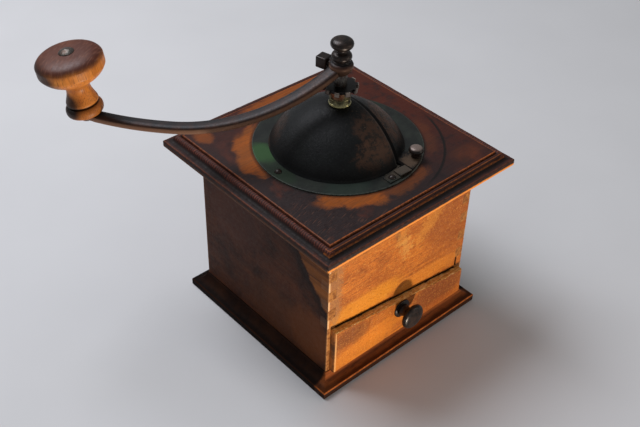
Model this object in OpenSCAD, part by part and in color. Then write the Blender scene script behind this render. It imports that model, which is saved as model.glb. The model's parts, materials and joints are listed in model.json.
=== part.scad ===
// Hand-cranked box coffee mill: a wooden case with a drawer, a sheet-iron hopper dome with a
// turning shutter, a spindle with its grinding cone, and a curved crank with a wooden knob.
// Millimetres. +Z is up, -Y is the drawer's side, and the origin is the middle of the base's underside.

/* [Case] */
// Outside width of the square case
body_w = 125; // [110:1:140]
// Height of the four walls
wall_h = 108; // [100:1:130]
// Thickness of the walls
wall_t = 6.5; // [5:0.5:9]
// Number of fingers down a corner joint
finger_count = 14; // [8:2:20]
// Height of the base board
base_h = 12.5; // [10:0.5:16]
// Height of the thin lip round the base board
base_lip_h = 5.5; // [3:0.5:7]
// How far the base stands out past the walls
base_step = 9; // [6:0.5:14]
// Small flat between the walls and the base's cove
base_shoulder = 1; // [0.5:0.5:3]
// Leg length of the glue blocks in the upper corners
block_leg = 14; // [8:1:20]
// Height of the glue blocks
block_h = 25; // [15:1:40]

/* [Top board] */
// Thickness of the top board
top_t = 10; // [9:0.5:14]
// How far the top board stands out past the walls
top_overhang = 17.5; // [12:0.5:24]
// Height of the plain edge of the top board
top_edge_t = 5; // [3:0.5:6]
// Width of the moulding round the raised panel
moulding_w = 9; // [8:0.5:14]
// Radius of the moulding's bead
bead_r = 2; // [1:0.1:2.5]
// Radius of the moulding's cove
top_cove_r = 2.2; // [1:0.1:2.5]

/* [Drawer] */
// Height of the drawer front at its left end
drawer_left_h = 36; // [28:1:44]
// Height of the drawer front at its right end
drawer_right_h = 20.5; // [16:1:40]
// How far the drawer front laps over each wall's edge
drawer_lap = 3.7; // [2:0.1:4.5]
// Thickness of the lapping part of the drawer front
drawer_front_t = 4.5; // [3:0.5:8]
// Thickness of the tray's boards
tray_t = 5; // [3:0.5:8]
// Thickness of the tray's bottom
tray_bottom_t = 3; // [2:0.5:5]
// Room behind the closed tray
tray_back_room = 4; // [2:0.5:10]
// Height of the two runners under the tray
runner_h = 1.5; // [1:0.5:3]
// Width of the runners
runner_w = 8; // [5:1:15]
// Height of the drawer knob's axis over the drawer front's lower edge
drawer_knob_up = 20.5; // [16:0.5:24]
// Largest diameter of the drawer knob
drawer_knob_d = 17.5; // [12:0.5:22]
// Length of the drawer knob from the drawer front
drawer_knob_l = 13; // [10:0.5:20]
// Diameter of the drawer knob's rose
rose_d = 13.5; // [10:0.5:16]

/* [Hopper] */
// Radius of the hopper dome where it meets its flange
dome_base_r = 44.5; // [38:0.5:48]
// Height of the full dome over its flange
dome_rise = 30; // [22:0.5:36]
// Width of the flange round the dome
flange_w = 10.5; // [9:0.5:12]
// Thickness of the sheet iron
sheet_t = 0.9; // [0.6:0.1:1.2]
// Distance of the dome's filling edge from the spindle axis
filling_edge = 10; // [9:0.5:14]
// How far the shutter reaches under the fixed dome
shutter_lap = 4; // [2:0.5:6]
// Diameter of the shutter knob
shutter_knob_d = 9.4; // [7:0.2:11]
// Height of the shutter knob
shutter_knob_h = 7.5; // [5:0.5:10]

/* [Spindle] */
// Diameter of the spindle
spindle_d = 8; // [7:0.2:9]
// Diameter of the brass collar
collar_d = 12.8; // [12:0.2:14]
// Diameter of the brass collar's foot
collar_foot_d = 15.4; // [14.5:0.2:18]
// Height of the brass collar over the dome
collar_h = 11.7; // [8:0.1:16]
// Diameter of the adjusting nut
nut_d = 22.6; // [19:0.2:24]
// Thickness of the adjusting nut's disc
nut_t = 2; // [1.5:0.5:4]
// Number of teeth on the adjusting nut
nut_teeth = 10; // [6:1:16]
// Height of the bare spindle between the nut and the crank
neck_h = 7.8; // [6:0.1:16]

/* [Crank] */
// Distance of the crank knob's pin from the spindle axis
crank_r = 155; // [130:1:180]
// Direction of the crank knob from the spindle at rest, in degrees
crank_azimuth = 142.5; // [0:0.5:359.5]
// How much the arm bends round, seen from above, in degrees
arm_bend = 55; // [20:1:80]
// How far the arm drops from the hub to its level end
arm_drop = 31; // [10:1:45]
// Length of the arm over which it drops
arm_fall = 106; // [60:1:120]
// Width of the arm at the hub
arm_w = 10; // [7:0.5:12]
// Width of the arm at the knob
arm_end_w = 8; // [6:0.5:10]
// Thickness of the arm
arm_t = 5.6; // [4:0.2:7]
// Diameter of the crank's hub
hub_d = 15; // [13:0.5:18]
// Height of the crank's hub
hub_h = 8; // [6:0.5:10]
// Outward lean of the crank knob, in degrees
knob_lean = 9; // [0:1:15]
// Largest diameter of the crank knob
knob_d = 42; // [32:0.5:48]
// Diameter of the crank knob's neck
knob_neck_d = 14; // [12:0.5:18]
// Height of the crank knob over its collar ring
knob_h = 35; // [30:0.5:46]
// Diameter of the crank knob's collar ring
knob_collar_d = 23; // [18:0.5:26]
// Height of the crank knob's collar ring
knob_collar_h = 7; // [5:0.5:9]
// Diameter of the crank knob's pin
knob_pin_d = 5; // [4:0.2:6]
// Largest diameter of the finial nut
finial_d = 13.8; // [11:0.2:18]
// Height of the finial nut
finial_h = 15.8; // [13:0.2:20]

/* [Grinder] */
// Outside diameter of the grinding ring
ring_d = 46; // [42:0.5:50]
// Height of the grinding ring
ring_h = 14; // [10:0.5:18]
// Lower diameter of the grinding cone
cone_d = 35.2; // [30:0.2:36]
// Upper diameter of the grinding cone
cone_top_d = 18; // [14:0.5:22]
// Number of grooves in the grinding cone
cone_grooves = 14; // [8:1:20]
// Wall of the mill housing
housing_wall = 2; // [1.5:0.1:4]
// Depth of the grinding ring's underside below the top of the case
ring_depth = 48; // [42:1:56]
// Wire diameter of the spindle spring
spring_wire = 1.4; // [1:0.1:1.8]
// Number of turns of the spindle spring
spring_turns = 7; // [4:1:9]

/* [Hidden] */
$fn = 64;

// Clearances: a running fit, a loose screw hole, a sliding gap, and an overlap for joined shapes
run_fit = 0.05;
screw_fit = 0.1;
slide_gap = 0.3;
join = 0.2;

// Colours of the finishes
oak = "#b5702f";
stained = "#3a2018";
iron = "#2b2a28";
blackened = "#1f2220";
brass = "#a99a5b";
steel = "#8a8782";

// Levels of the case
half_body = body_w / 2;
inner_half = half_body - wall_t;
wall_z = base_h;
case_top = wall_z + wall_h;
panel_z = case_top + top_t;
flange_t = 1;
flange_z = panel_z + flange_t;
base_w = body_w + 2 * base_step;
top_w = body_w + 2 * top_overhang;
finger_h = wall_h / finger_count;

// Drawer levels and widths
drawer_gap = 0.6;
front_low = wall_z + 0.8;
front_half = inner_half + drawer_lap;
front_back_y = -half_body - slide_gap;
front_face_y = front_back_y - drawer_front_t;
tray_z = wall_z + runner_h + 0.15;
tray_half = inner_half - drawer_gap;
tray_back_y = inner_half - tray_back_room;
opening_gap = 1.2;
tray_top_gap = 3.5;
slot_w = 1.8;
slot_h = 13;
drawer_knob_z = front_low + drawer_knob_up;

// Hopper spheres: the dome's radius follows from its base and its rise
dome_r = (pow(dome_base_r, 2) + pow(dome_rise, 2)) / (2 * dome_rise);
dome_z = flange_z + dome_rise - dome_r;
flange_r = dome_base_r + flange_w;
flange_in_r = dome_base_r - 3;
pad_r = collar_foot_d / 2 + 0.6;
pad_z = dome_z + sqrt(pow(dome_r, 2) - pow(pad_r, 2));
shutter_gap = 0.8;
shutter_r = dome_r - sheet_t - shutter_gap;
shutter_pad_z = pad_z - sheet_t - shutter_gap;
shutter_hub_r = 11;
tab_z = flange_z + slide_gap;
tab_r = flange_r - 1;
tab_neck_r = dome_base_r + 1.5;
tab_from = -79;
tab_neck_from = -74;
tab_to = -56;
shutter_knob_r = flange_r - 4.2;
shutter_knob_at = -60;
flange_screw_r = flange_r - 5.2;
clip_back = 12;
clip_at = tab_from - clip_back;
flange_screw_at = [180, 90, clip_at];
clip_w = 6.4;
clip_t = 0.8;
clip_tail = 4.6;
clip_step = 5;
clip_reach = 13.5;
clip_top_z = tab_z + sheet_t + slide_gap;
flange_screw_d = 3;
flange_screw_l = 9;
screw_room = 10;
screw_head_d = 4.8;
screw_head_h = 1.7;

// Spindle levels
spindle_r = spindle_d / 2;
sleeve_r = spindle_r + 1.5;
collar_nut_w = 2 * sleeve_r + 6;
collar_nut_h = 4;
collar_nut_z = shutter_pad_z - sheet_t - slide_gap - collar_nut_h;
sleeve_low = collar_nut_z - 1;
collar_top = pad_z + collar_h;
foot_h = 2.2;
nut_z = collar_top + 0.1;
tooth_depth = 2.2;
tooth_w = 2.8;
tooth_drop = 1;
hub_z = nut_z + nut_t + neck_h;
hub_top = hub_z + hub_h;
square_w = floor(10 * spindle_d / sqrt(2)) / 10;
thread_r = square_w / 2;
thread_l = 9;
spindle_tail = 10.5;
spindle_low = case_top - ring_depth - spindle_tail;
washer_depth = 11;
washer_z = case_top - washer_depth;
washer_t = 1.2;
feed_pin_d = 3;
feed_pin_l = 22;
drive_pin_up = 5;
drive_pin_l = cone_top_d - 4;

// Crank arm path: an arc in plan that falls along a parabola from the hub to a level end
arm_start = crank_azimuth + arm_bend / 2;
arm_end = crank_azimuth - arm_bend / 2;
arm_bend_r = crank_r / (2 * sin(arm_bend / 2));
arm_len = arm_bend_r * arm_bend * PI / 180;
arm_flat_z = hub_top - arm_t / 2 - arm_drop;
arm_root = spindle_r + 1;
arm_rings = 36;
arm_chamfer = 0.28;
tip_r = 5.6;
tip_t = 3;
function arm_heading(s) = arm_start - arm_bend * s / arm_len;
function arm_slope(s) = -2 * arm_drop / arm_fall * max(0, 1 - s / arm_fall);
function arm_height(s) = arm_flat_z + arm_drop * pow(max(0, 1 - s / arm_fall), 2);
function arm_point(s) = [
  arm_bend_r * (sin(arm_start) - sin(arm_heading(s))),
  arm_bend_r * (cos(arm_heading(s)) - cos(arm_start)),
  arm_height(s)
];
function arm_width(s) = arm_w + (arm_end_w - arm_w) * s / arm_len;
function bar_section(w, t, c) = [
  [w / 2, -t / 2 + c], [w / 2, t / 2 - c], [w / 2 - c, t / 2], [-w / 2 + c, t / 2],
  [-w / 2, t / 2 - c], [-w / 2, -t / 2 + c], [-w / 2 + c, -t / 2], [w / 2 - c, -t / 2]
];
function arm_ring(s) = let (
    h = arm_heading(s),
    pitch = atan(arm_slope(s)),
    side = [-sin(h), cos(h), 0],
    up = [-sin(pitch) * cos(h), -sin(pitch) * sin(h), cos(pitch)]
  ) [for (q = bar_section(arm_width(s), arm_t, arm_chamfer * arm_t)) arm_point(s) + q[0] * side + q[1] * up];

// Crank knob levels along its own leaning axis, from the top of the arm's tip
knob_gap = 0.15;
knob_low = knob_gap + knob_collar_h + knob_gap;
knob_top = knob_low + knob_h;
knob_head_r = 7.8;
knob_pin_r = knob_pin_d / 2;
pin_head_r = 4.8;
pin_head_h = 1.9;
pin_tail_r = 4;
pin_tail_h = 1.2;

// Grinder levels
ring_z = case_top - ring_depth;
ring_r = ring_d / 2;
ring_low_r = cone_d / 2 + 0.9;
ring_top_r = cone_d / 2 - 2.4;
cone_low = ring_z + 1.5;
cone_h = ring_h - 1;
seat_r = ring_r + housing_wall + 1.5;
seat_top = ring_z + ring_h + 2.7;
throat_r = ring_r - 3.5;
lip_t = 1.5;
lip_r = dome_base_r - 0.8;
hole_r = dome_base_r - 4;
funnel_r = hole_r - slide_gap;
funnel_low = panel_z - top_t;
lug_reach = seat_r + 7;
lug_w = 12;
lug_h = 8;
bar_t = 6;
bush_drop = 2;
boss_wall = 2.5;
bush_r = spindle_r + 2.5;
bridge_screw_x = seat_r + 2.8;
bridge_screw_d = 4;
bridge_head_d = 7;
bridge_head_h = 2.4;
groove_w = 1.6;
groove_depth = 1.5;
groove_slant = 24;

// Wound spring between the spring washer and the collar's sleeve
spring_low = washer_z + washer_t + spring_wire / 2 + 0.1;
spring_high = sleeve_low - spring_wire / 2 - slide_gap;
spring_r = spindle_r + spring_wire / 2 + 0.8;
turn_steps = 8;
turn_angle = 360 / turn_steps;
spring_steps = turn_steps * spring_turns;
spring_sides = 6;
function spring_height(a) = spring_low + (spring_high - spring_low) * a / (360 * spring_turns);
function spring_centre(a) = [spring_r * cos(a), spring_r * sin(a), spring_height(a)];
function spring_ring(a) = [
  for (k = [0 : spring_sides - 1])
    let (b = 360 * k / spring_sides, reach = spring_r - spring_wire / 2 * cos(b))
    [reach * cos(a), reach * sin(a), spring_height(a) + spring_wire / 2 * sin(b)]
];
spring_gap = min([
  for (i = [0 : spring_steps - turn_steps])
    norm(spring_centre(turn_angle * (i + turn_steps)) - spring_centre(turn_angle * i)) - spring_wire
]);
echo(spring_gap = spring_gap);  // spindle_spring

// Base screws
base_screw_y = 35;
base_screw_d = 3;
base_screw_l = 23;
base_head_d = 6.4;
base_head_h = 2.6;
base_head_sink = 0.6;

// Lower edge of the front wall and upper edge of the drawer, which slant down to the right
function drawer_line(x) =
  front_low + drawer_left_h + (drawer_right_h - drawer_left_h) * (x + front_half) / (2 * front_half);

// Closed skin over a row of rings with equal point counts
module skin(rings) {
  n = len(rings[0]);
  last = len(rings) - 1;
  polyhedron(
    points = [for (r = rings) each r],
    faces = concat(
      [[for (k = [0 : n - 1]) k]],
      [[for (k = [n - 1 : -1 : 0]) last * n + k]],
      [for (i = [0 : last - 1]) for (k = [0 : n - 1]) [i * n + k, (i + 1) * n + k, (i + 1) * n + (k + 1) % n]],
      [for (i = [0 : last - 1]) for (k = [0 : n - 1]) [i * n + k, (i + 1) * n + (k + 1) % n, i * n + (k + 1) % n]]
    )
  );
}

// Square board whose four edges have the profile drawn by the child
module mitred_board(w) {
  intersection() {
    rotate([90, 0, 0]) linear_extrude(w, center = true) children();
    rotate([90, 0, 90]) linear_extrude(w, center = true) children();
  }
}

// Plate between two heights of y, drawn as seen from the front
module front_plate(y_from, y_to) {
  translate([0, y_to, 0]) rotate([90, 0, 0]) linear_extrude(y_to - y_from) children();
}

// Sector of a flat ring
module ring_sector(r_in, r_out, a_from, a_to) {
  reach = 2 * r_out;
  intersection() {
    difference() {
      circle(r_out);
      circle(r_in);
    }
    polygon([[0, 0], reach * [cos(a_from), sin(a_from)], reach * [cos(a_to), sin(a_to)]]);
  }
}

// Everything on one side of the board's middle, mirrored to the other
module both_sides() {
  children();
  mirror([1, 0, 0]) children();
}

module base_profile() {
  cove_r = min(base_h - base_lip_h, base_step - base_shoulder - 0.5);
  seat_half = half_body + base_shoulder;
  translate([-base_w / 2, 0]) square([base_w, base_lip_h]);
  translate([-seat_half, 0]) square([2 * seat_half, base_h]);
  both_sides() difference() {
    translate([seat_half - join, base_lip_h - join]) square(cove_r + join);
    translate([seat_half + cove_r, base_lip_h + cove_r]) circle(cove_r);
  }
}

module base_screw_places() {
  for (x = [-1, 1]) for (y = [-1, 1])
    translate([x * (half_body - wall_t / 2), y * base_screw_y, 0]) children();
}

module base_screw_shape(extra) {
  translate([0, 0, base_head_sink]) cylinder(base_head_h, base_head_d / 2 + extra, base_screw_d / 2 + extra);
  translate([0, 0, base_head_sink]) cylinder(base_screw_l + extra, base_screw_d / 2 + extra, base_screw_d / 2 + extra);
}

module base_board() {
  color(stained) difference() {
    mitred_board(base_w) base_profile();
    base_screw_places() base_screw_shape(screw_fit);
    base_screw_places() translate([0, 0, -join]) cylinder(base_head_sink + 2 * join, d = base_head_d + 2 * screw_fit);
  }
}

module base_screws() {
  color(steel) base_screw_places() base_screw_shape(0);
}

// Cells of the corner joints: part 0 goes to the side walls and part 1 to the front and back
module corner_cells(side_x, side_y, part) {
  for (i = [part : 2 : finger_count - 1])
    translate([side_x * (half_body - wall_t / 2), side_y * (half_body - wall_t / 2), wall_z + (i + 0.5) * finger_h])
      cube([wall_t, wall_t, finger_h], center = true);
}

module front_blank() {
  front_plate(-half_body, -inner_half) polygon([
    [-half_body, drawer_line(-half_body) + opening_gap], [half_body, drawer_line(half_body) + opening_gap],
    [half_body, case_top], [-half_body, case_top]
  ]);
}

module side_wall(side) {
  color(oak) difference() {
    translate([side * (half_body - wall_t / 2), 0, wall_z + wall_h / 2]) cube([wall_t, body_w, wall_h], center = true);
    corner_cells(side, 1, 1);
    intersection() {
      corner_cells(side, -1, 1);
      front_blank();
    }
    base_screw_places() base_screw_shape(run_fit);
  }
}

module left_wall() {
  side_wall(-1);
}

module right_wall() {
  side_wall(1);
}

module back_wall() {
  color(oak) difference() {
    translate([-half_body, inner_half, wall_z]) cube([body_w, wall_t, wall_h]);
    corner_cells(-1, 1, 0);
    corner_cells(1, 1, 0);
  }
}

module front_wall() {
  color(oak) difference() {
    front_blank();
    corner_cells(-1, -1, 0);
    corner_cells(1, -1, 0);
    translate([inner_half, -half_body - join, drawer_line(inner_half) - join])
      cube([slot_w, wall_t - 1, slot_h + opening_gap + join]);
  }
}

module top_profile() {
  panel_half = top_w / 2 - moulding_w;
  bead_z = top_edge_t + top_cove_r;
  cove_x = panel_half + 2 * bead_r;
  translate([-top_w / 2, 0]) square([top_w, top_edge_t]);
  translate([-panel_half, 0]) square([2 * panel_half, top_t]);
  both_sides() {
    translate([panel_half + bead_r, bead_z]) circle(bead_r);
    translate([panel_half - join, top_edge_t - join]) square([2 * bead_r + join, top_cove_r + join]);
    difference() {
      translate([cove_x - join, top_edge_t - join]) square(top_cove_r + join);
      translate([cove_x + top_cove_r, bead_z]) circle(top_cove_r);
    }
  }
}

module flange_screw_places() {
  for (a = flange_screw_at) rotate(a) translate([flange_screw_r, 0, 0]) children();
}

module flange_screw_holes(extra) {
  flange_screw_places() translate([0, 0, panel_z - flange_screw_l - slide_gap])
    cylinder(flange_screw_l + screw_room, d = flange_screw_d + 2 * extra);
}

module top_board() {
  color(stained) difference() {
    translate([0, 0, case_top]) mitred_board(top_w) top_profile();
    translate([0, 0, case_top - join]) cylinder(top_t + 2 * join, r = hole_r);
    translate([0, 0, panel_z - lip_t]) cylinder(lip_t + join, r = lip_r + run_fit);
    flange_screw_holes(run_fit);
  }
}

module corner_blocks() {
  color(oak) for (a = [0 : 90 : 270])
    rotate(a) translate([inner_half, inner_half, case_top - block_h]) rotate(180)
      linear_extrude(block_h) polygon([[0, 0], [block_leg, 0], [0, block_leg]]);
}

module drawer_runners() {
  color(oak) for (side = [-1, 1])
    translate([side * (inner_half - runner_w / 2), 0, wall_z + runner_h / 2])
      cube([runner_w, 2 * inner_half, runner_h], center = true);
}

// Drawer front: a lapping board and a plug that fits between the tray's sides
module drawer_front() {
  plug_half = tray_half - tray_t;
  color(oak) difference() {
    union() {
      front_plate(front_face_y, front_back_y) polygon([
        [-front_half, front_low], [front_half, front_low],
        [front_half, drawer_line(front_half)], [-front_half, drawer_line(-front_half)]
      ]);
      front_plate(front_back_y - join, front_back_y + tray_t) polygon([
        [-plug_half, tray_z], [plug_half, tray_z],
        [plug_half, drawer_line(plug_half) - tray_top_gap], [-plug_half, drawer_line(-plug_half) - tray_top_gap]
      ]);
    }
    along_drawer_knob() translate([0, 0, -2 * tray_t])
      cylinder(2 * tray_t + drawer_front_t + join, d = bridge_screw_d + 2 * screw_fit);
  }
}

module tray_side(side) {
  side_x = side * (tray_half - tray_t / 2);
  top_z = drawer_line(side_x) - tray_top_gap;
  length = tray_back_y - front_back_y;
  color(oak) translate([side_x, front_back_y + length / 2, (tray_z + top_z) / 2])
    cube([tray_t, length, top_z - tray_z], center = true);
}

module drawer_left_side() {
  tray_side(-1);
}

module drawer_right_side() {
  tray_side(1);
}

module drawer_back() {
  half = tray_half - tray_t;
  color(oak) front_plate(tray_back_y - tray_t, tray_back_y) polygon([
    [-half, tray_z], [half, tray_z],
    [half, drawer_line(half) - tray_top_gap], [-half, drawer_line(-half) - tray_top_gap]
  ]);
}

module drawer_bottom() {
  half = tray_half - tray_t;
  front_y = front_back_y + tray_t;
  color(oak) translate([-half, front_y, tray_z]) cube([2 * half, tray_back_y - tray_t - front_y, tray_bottom_t]);
}

// Places its child with +Z along the drawer knob's axis, starting at the drawer front's face
module along_drawer_knob() {
  translate([0, front_face_y, drawer_knob_z]) rotate([90, 0, 0]) children();
}

module drawer_knob_rose() {
  rose_t = 2;
  color(iron) along_drawer_knob() difference() {
    union() {
      cylinder(rose_t / 2, d = rose_d);
      translate([0, 0, rose_t / 2]) cylinder(rose_t / 2, rose_d / 2, rose_d / 2 - 1.6);
    }
    translate([0, 0, -join]) cylinder(rose_t + 2 * join, d = bridge_screw_d + 2 * screw_fit);
  }
}

module drawer_knob() {
  rose_t = 2;
  edge_r = 2.6;
  neck_r = drawer_knob_d / 4;
  head_z = drawer_knob_l - edge_r - 0.6;
  color(iron) along_drawer_knob() difference() {
    rotate_extrude() difference() {
      union() {
        translate([0, rose_t]) square([neck_r, head_z - rose_t]);
        translate([drawer_knob_d / 2 - edge_r, head_z]) circle(edge_r);
        translate([0, head_z - edge_r]) square([drawer_knob_d / 2 - edge_r, 2 * edge_r]);
        translate([0, drawer_knob_l - 0.6]) square([drawer_knob_d / 4, 0.6]);
      }
      translate([-drawer_knob_d, 0]) square([drawer_knob_d, 2 * drawer_knob_l]);
    }
    translate([0, 0, rose_t - join]) cylinder(drawer_knob_l - 5, d = bridge_screw_d + 2 * run_fit);
  }
}

module drawer_knob_screw() {
  inside = -(drawer_front_t + tray_t);
  color(steel) along_drawer_knob() {
    translate([0, 0, inside - bridge_head_h]) cylinder(bridge_head_h, d = bridge_head_d);
    translate([0, 0, inside - join]) cylinder(drawer_knob_l - 5 - inside, d = bridge_screw_d);
  }
}

// Cast housing that hangs in the top board: lip, funnel, ring seat and two lugs for the bridge
module mill_housing() {
  color(iron) difference() {
    union() {
      rotate_extrude() polygon([
        [0, ring_z], [seat_r, ring_z], [seat_r, seat_top], [funnel_r, funnel_low],
        [funnel_r, panel_z - lip_t], [lip_r, panel_z - lip_t], [lip_r, panel_z], [0, panel_z]
      ]);
      for (side = [-1, 1])
        translate([side * (seat_r - 1 + lug_reach) / 2, 0, ring_z + lug_h / 2])
          cube([lug_reach - seat_r + 1, lug_w, lug_h], center = true);
    }
    rotate_extrude() polygon([
      [0, ring_z - 1], [ring_r + run_fit, ring_z - 1], [ring_r + run_fit, ring_z + ring_h],
      [throat_r, ring_z + ring_h], [throat_r, seat_top], [funnel_r - housing_wall, funnel_low],
      [funnel_r - housing_wall, panel_z + 1], [0, panel_z + 1]
    ]);
    bridge_screw_places() cylinder(lug_h - 1, d = bridge_screw_d + 2 * run_fit);
  }
}

module bridge_screw_places() {
  for (side = [-1, 1]) translate([side * bridge_screw_x, 0, ring_z - join]) children();
}

module grind_ring() {
  color(steel) difference() {
    translate([0, 0, ring_z]) cylinder(ring_h, r = ring_r);
    translate([0, 0, ring_z - join])
      cylinder(ring_h + 2 * join, ring_low_r, ring_top_r);
    for (k = [0 : cone_grooves + 3])
      rotate(360 * k / (cone_grooves + 4)) translate([(ring_low_r + ring_top_r) / 2, 0, ring_z + ring_h / 2])
        rotate([groove_slant, 0, 0]) cube([2 * groove_depth, groove_w, 2 * ring_h], center = true);
  }
}

module grind_cone() {
  color(steel) difference() {
    translate([0, 0, cone_low]) cylinder(cone_h, cone_d / 2, cone_top_d / 2);
    translate([0, 0, cone_low - 1]) cylinder(cone_h + 2, r = spindle_r + run_fit);
    for (k = [0 : cone_grooves - 1])
      rotate(360 * k / cone_grooves) translate([(cone_d + cone_top_d) / 4, 0, cone_low + cone_h / 2])
        rotate([-groove_slant, -atan((cone_d - cone_top_d) / (2 * cone_h)), 0])
          cube([2 * groove_depth, groove_w, 2 * cone_h], center = true);
    across_spindle(cone_low + drive_pin_up) cylinder(cone_d + 2, d = feed_pin_d + 2 * run_fit, center = true);
  }
}

// Places its child with +Z across the spindle, along the crank's radius
module across_spindle(z) {
  translate([0, 0, z]) rotate([90, 0, crank_azimuth]) children();
}

module drive_pin() {
  color(steel) across_spindle(cone_low + drive_pin_up) cylinder(drive_pin_l, d = feed_pin_d, center = true);
}

module bridge_bar() {
  color(iron) difference() {
    union() {
      translate([0, 0, ring_z - bar_t / 2]) cube([2 * lug_reach, lug_w, bar_t], center = true);
      translate([0, 0, ring_z - bar_t - bush_drop]) cylinder(bar_t + bush_drop, r = bush_r + boss_wall);
    }
    translate([0, 0, ring_z - bar_t - 2 * bush_drop]) cylinder(bar_t + 3 * bush_drop, r = bush_r + run_fit);
    bridge_screw_places() translate([0, 0, -bar_t - 1]) cylinder(bar_t + 2, d = bridge_screw_d + 2 * screw_fit);
  }
}

module bridge_screws() {
  color(steel) bridge_screw_places() {
    translate([0, 0, join - bar_t - bridge_head_h]) cylinder(bridge_head_h, d = bridge_head_d);
    translate([0, 0, -bar_t]) cylinder(bar_t + lug_h - 2, d = bridge_screw_d);
  }
}

module lower_bush() {
  color(brass) difference() {
    translate([0, 0, ring_z - bar_t - bush_drop]) cylinder(bar_t + bush_drop + 0.6, r = bush_r);
    translate([0, 0, ring_z - bar_t - 2 * bush_drop]) cylinder(bar_t + 3 * bush_drop, r = spindle_r + run_fit);
  }
}

module spindle() {
  color(steel) difference() {
    union() {
      translate([0, 0, spindle_low]) cylinder(hub_z - spindle_low, r = spindle_r);
      translate([0, 0, hub_z - 1]) rotate(screw_azimuth)
        translate([-square_w / 2, -square_w / 2, 0]) cube([square_w, square_w, hub_h + 1]);
      translate([0, 0, hub_top - 1]) cylinder(thread_l + 1, r = thread_r);
    }
    across_spindle(cone_low + drive_pin_up) cylinder(spindle_d + 2, d = feed_pin_d + 2 * run_fit, center = true);
    across_spindle(washer_z - feed_pin_d / 2) cylinder(spindle_d + 2, d = feed_pin_d + 2 * run_fit, center = true);
  }
}

module feed_pin() {
  color(steel) across_spindle(washer_z - feed_pin_d / 2) cylinder(feed_pin_l, d = feed_pin_d, center = true);
}

module spring_washer() {
  color(steel) difference() {
    translate([0, 0, washer_z]) cylinder(washer_t, r = spring_r + spring_wire);
    translate([0, 0, washer_z - 1]) cylinder(washer_t + 2, r = spindle_r + run_fit);
  }
}

module spindle_spring() {
  color(steel) skin([for (i = [0 : spring_steps]) spring_ring(turn_angle * i)]);
}

// Shell of a sphere about the dome's centre, above a height, drawn for turning about the spindle
module dome_shell(r, low, pad) {
  rotate_extrude() {
    intersection() {
      translate([0, dome_z]) difference() {
        circle(r);
        circle(r - sheet_t);
      }
      translate([0, low]) square([r, pad - low]);
    }
    translate([0, pad - sheet_t]) square([pad_r + 0.4, sheet_t]);
  }
}

// Fixed half of the hopper dome with its full flange
module hopper_dome() {
  color(blackened) difference() {
    union() {
      difference() {
        dome_shell(dome_r, flange_z - flange_t / 2, pad_z);
        translate([filling_edge, -dome_r, flange_z - flange_t]) cube([dome_r, 2 * dome_r, dome_rise + 2]);
      }
      translate([0, 0, panel_z]) cylinder(flange_t, r = flange_r);
    }
    translate([0, 0, panel_z - 1]) cylinder(flange_t + 2, r = flange_in_r);
    translate([0, 0, pad_z - 3]) cylinder(5, r = sleeve_r + run_fit);
    flange_screw_holes(run_fit);
  }
}

// Turning half of the dome, hung on the collar's sleeve under the fixed half
module dome_shutter() {
  color(blackened) difference() {
    union() {
      intersection() {
        dome_shell(shutter_r, tab_z, shutter_pad_z);
        union() {
          translate([filling_edge - shutter_lap, -dome_r, tab_z - 1]) cube([dome_r, 2 * dome_r, dome_rise + 2]);
          translate([0, 0, tab_z]) cylinder(dome_rise + 2, r = shutter_hub_r);
        }
      }
      translate([0, 0, tab_z]) linear_extrude(sheet_t) {
        ring_sector(flange_in_r + 0.5, tab_r, tab_neck_from, tab_to);
        ring_sector(tab_neck_r, tab_r, tab_from, tab_neck_from + 1);
      }
    }
    translate([0, 0, shutter_pad_z - 3]) cylinder(5, r = sleeve_r + 2 * run_fit);
  }
}

module shutter_knob() {
  foot_d = 0.62 * shutter_knob_d;
  rim = 1.4;
  color(iron) rotate(shutter_knob_at) translate([shutter_knob_r, 0, tab_z + sheet_t]) {
    cylinder(shutter_knob_h - rim, foot_d / 2, shutter_knob_d / 2);
    translate([0, 0, shutter_knob_h - rim]) cylinder(rim, shutter_knob_d / 2, shutter_knob_d / 2 - 0.7);
  }
}

// Joggled catch strip that holds the shutter's tab down when the hopper is closed
module shutter_clip() {
  color(iron) rotate(clip_at) translate([flange_screw_r - clip_w / 2, 0, 0]) difference() {
    union() {
      translate([0, -clip_tail, flange_z]) cube([clip_w, clip_tail + clip_step, clip_t]);
      translate([0, clip_step - clip_t, flange_z]) cube([clip_w, clip_t, clip_top_z + clip_t - flange_z]);
      translate([0, clip_step - clip_t, clip_top_z]) cube([clip_w, clip_reach - clip_step + clip_t, clip_t]);
    }
    translate([clip_w / 2, 0, flange_z - 1]) cylinder(clip_t + 2, d = flange_screw_d + 2 * run_fit);
  }
}

module flange_screws() {
  color(iron) for (a = flange_screw_at) {
    seat_z = flange_z + (a == clip_at ? clip_t : 0);
    ball_r = (pow(screw_head_d / 2, 2) + pow(screw_head_h, 2)) / (2 * screw_head_h);
    rotate(a) translate([flange_screw_r, 0, 0]) {
      translate([0, 0, panel_z - flange_screw_l]) cylinder(seat_z + join - panel_z + flange_screw_l, d = flange_screw_d);
      intersection() {
        translate([0, 0, seat_z]) cylinder(screw_head_h + 1, d = screw_head_d);
        translate([0, 0, seat_z + screw_head_h - ball_r]) sphere(ball_r);
      }
    }
  }
}

// Brass collar: flared foot on the dome, plain body, and a sleeve that carries the shutter
module spindle_collar() {
  flare_r = (collar_foot_d - collar_d) / 2;
  color(brass) difference() {
    union() {
      translate([0, 0, sleeve_low]) cylinder(pad_z - sleeve_low + 1, r = sleeve_r);
      translate([0, 0, pad_z]) cylinder(collar_h, d = collar_d);
      translate([0, 0, pad_z]) cylinder(foot_h - flare_r, d = collar_foot_d);
      translate([0, 0, pad_z + foot_h - flare_r]) cylinder(flare_r, d1 = collar_foot_d, d2 = collar_d);
    }
    translate([0, 0, sleeve_low - 1]) cylinder(collar_top - sleeve_low + 2, r = spindle_r + run_fit);
  }
}

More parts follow.
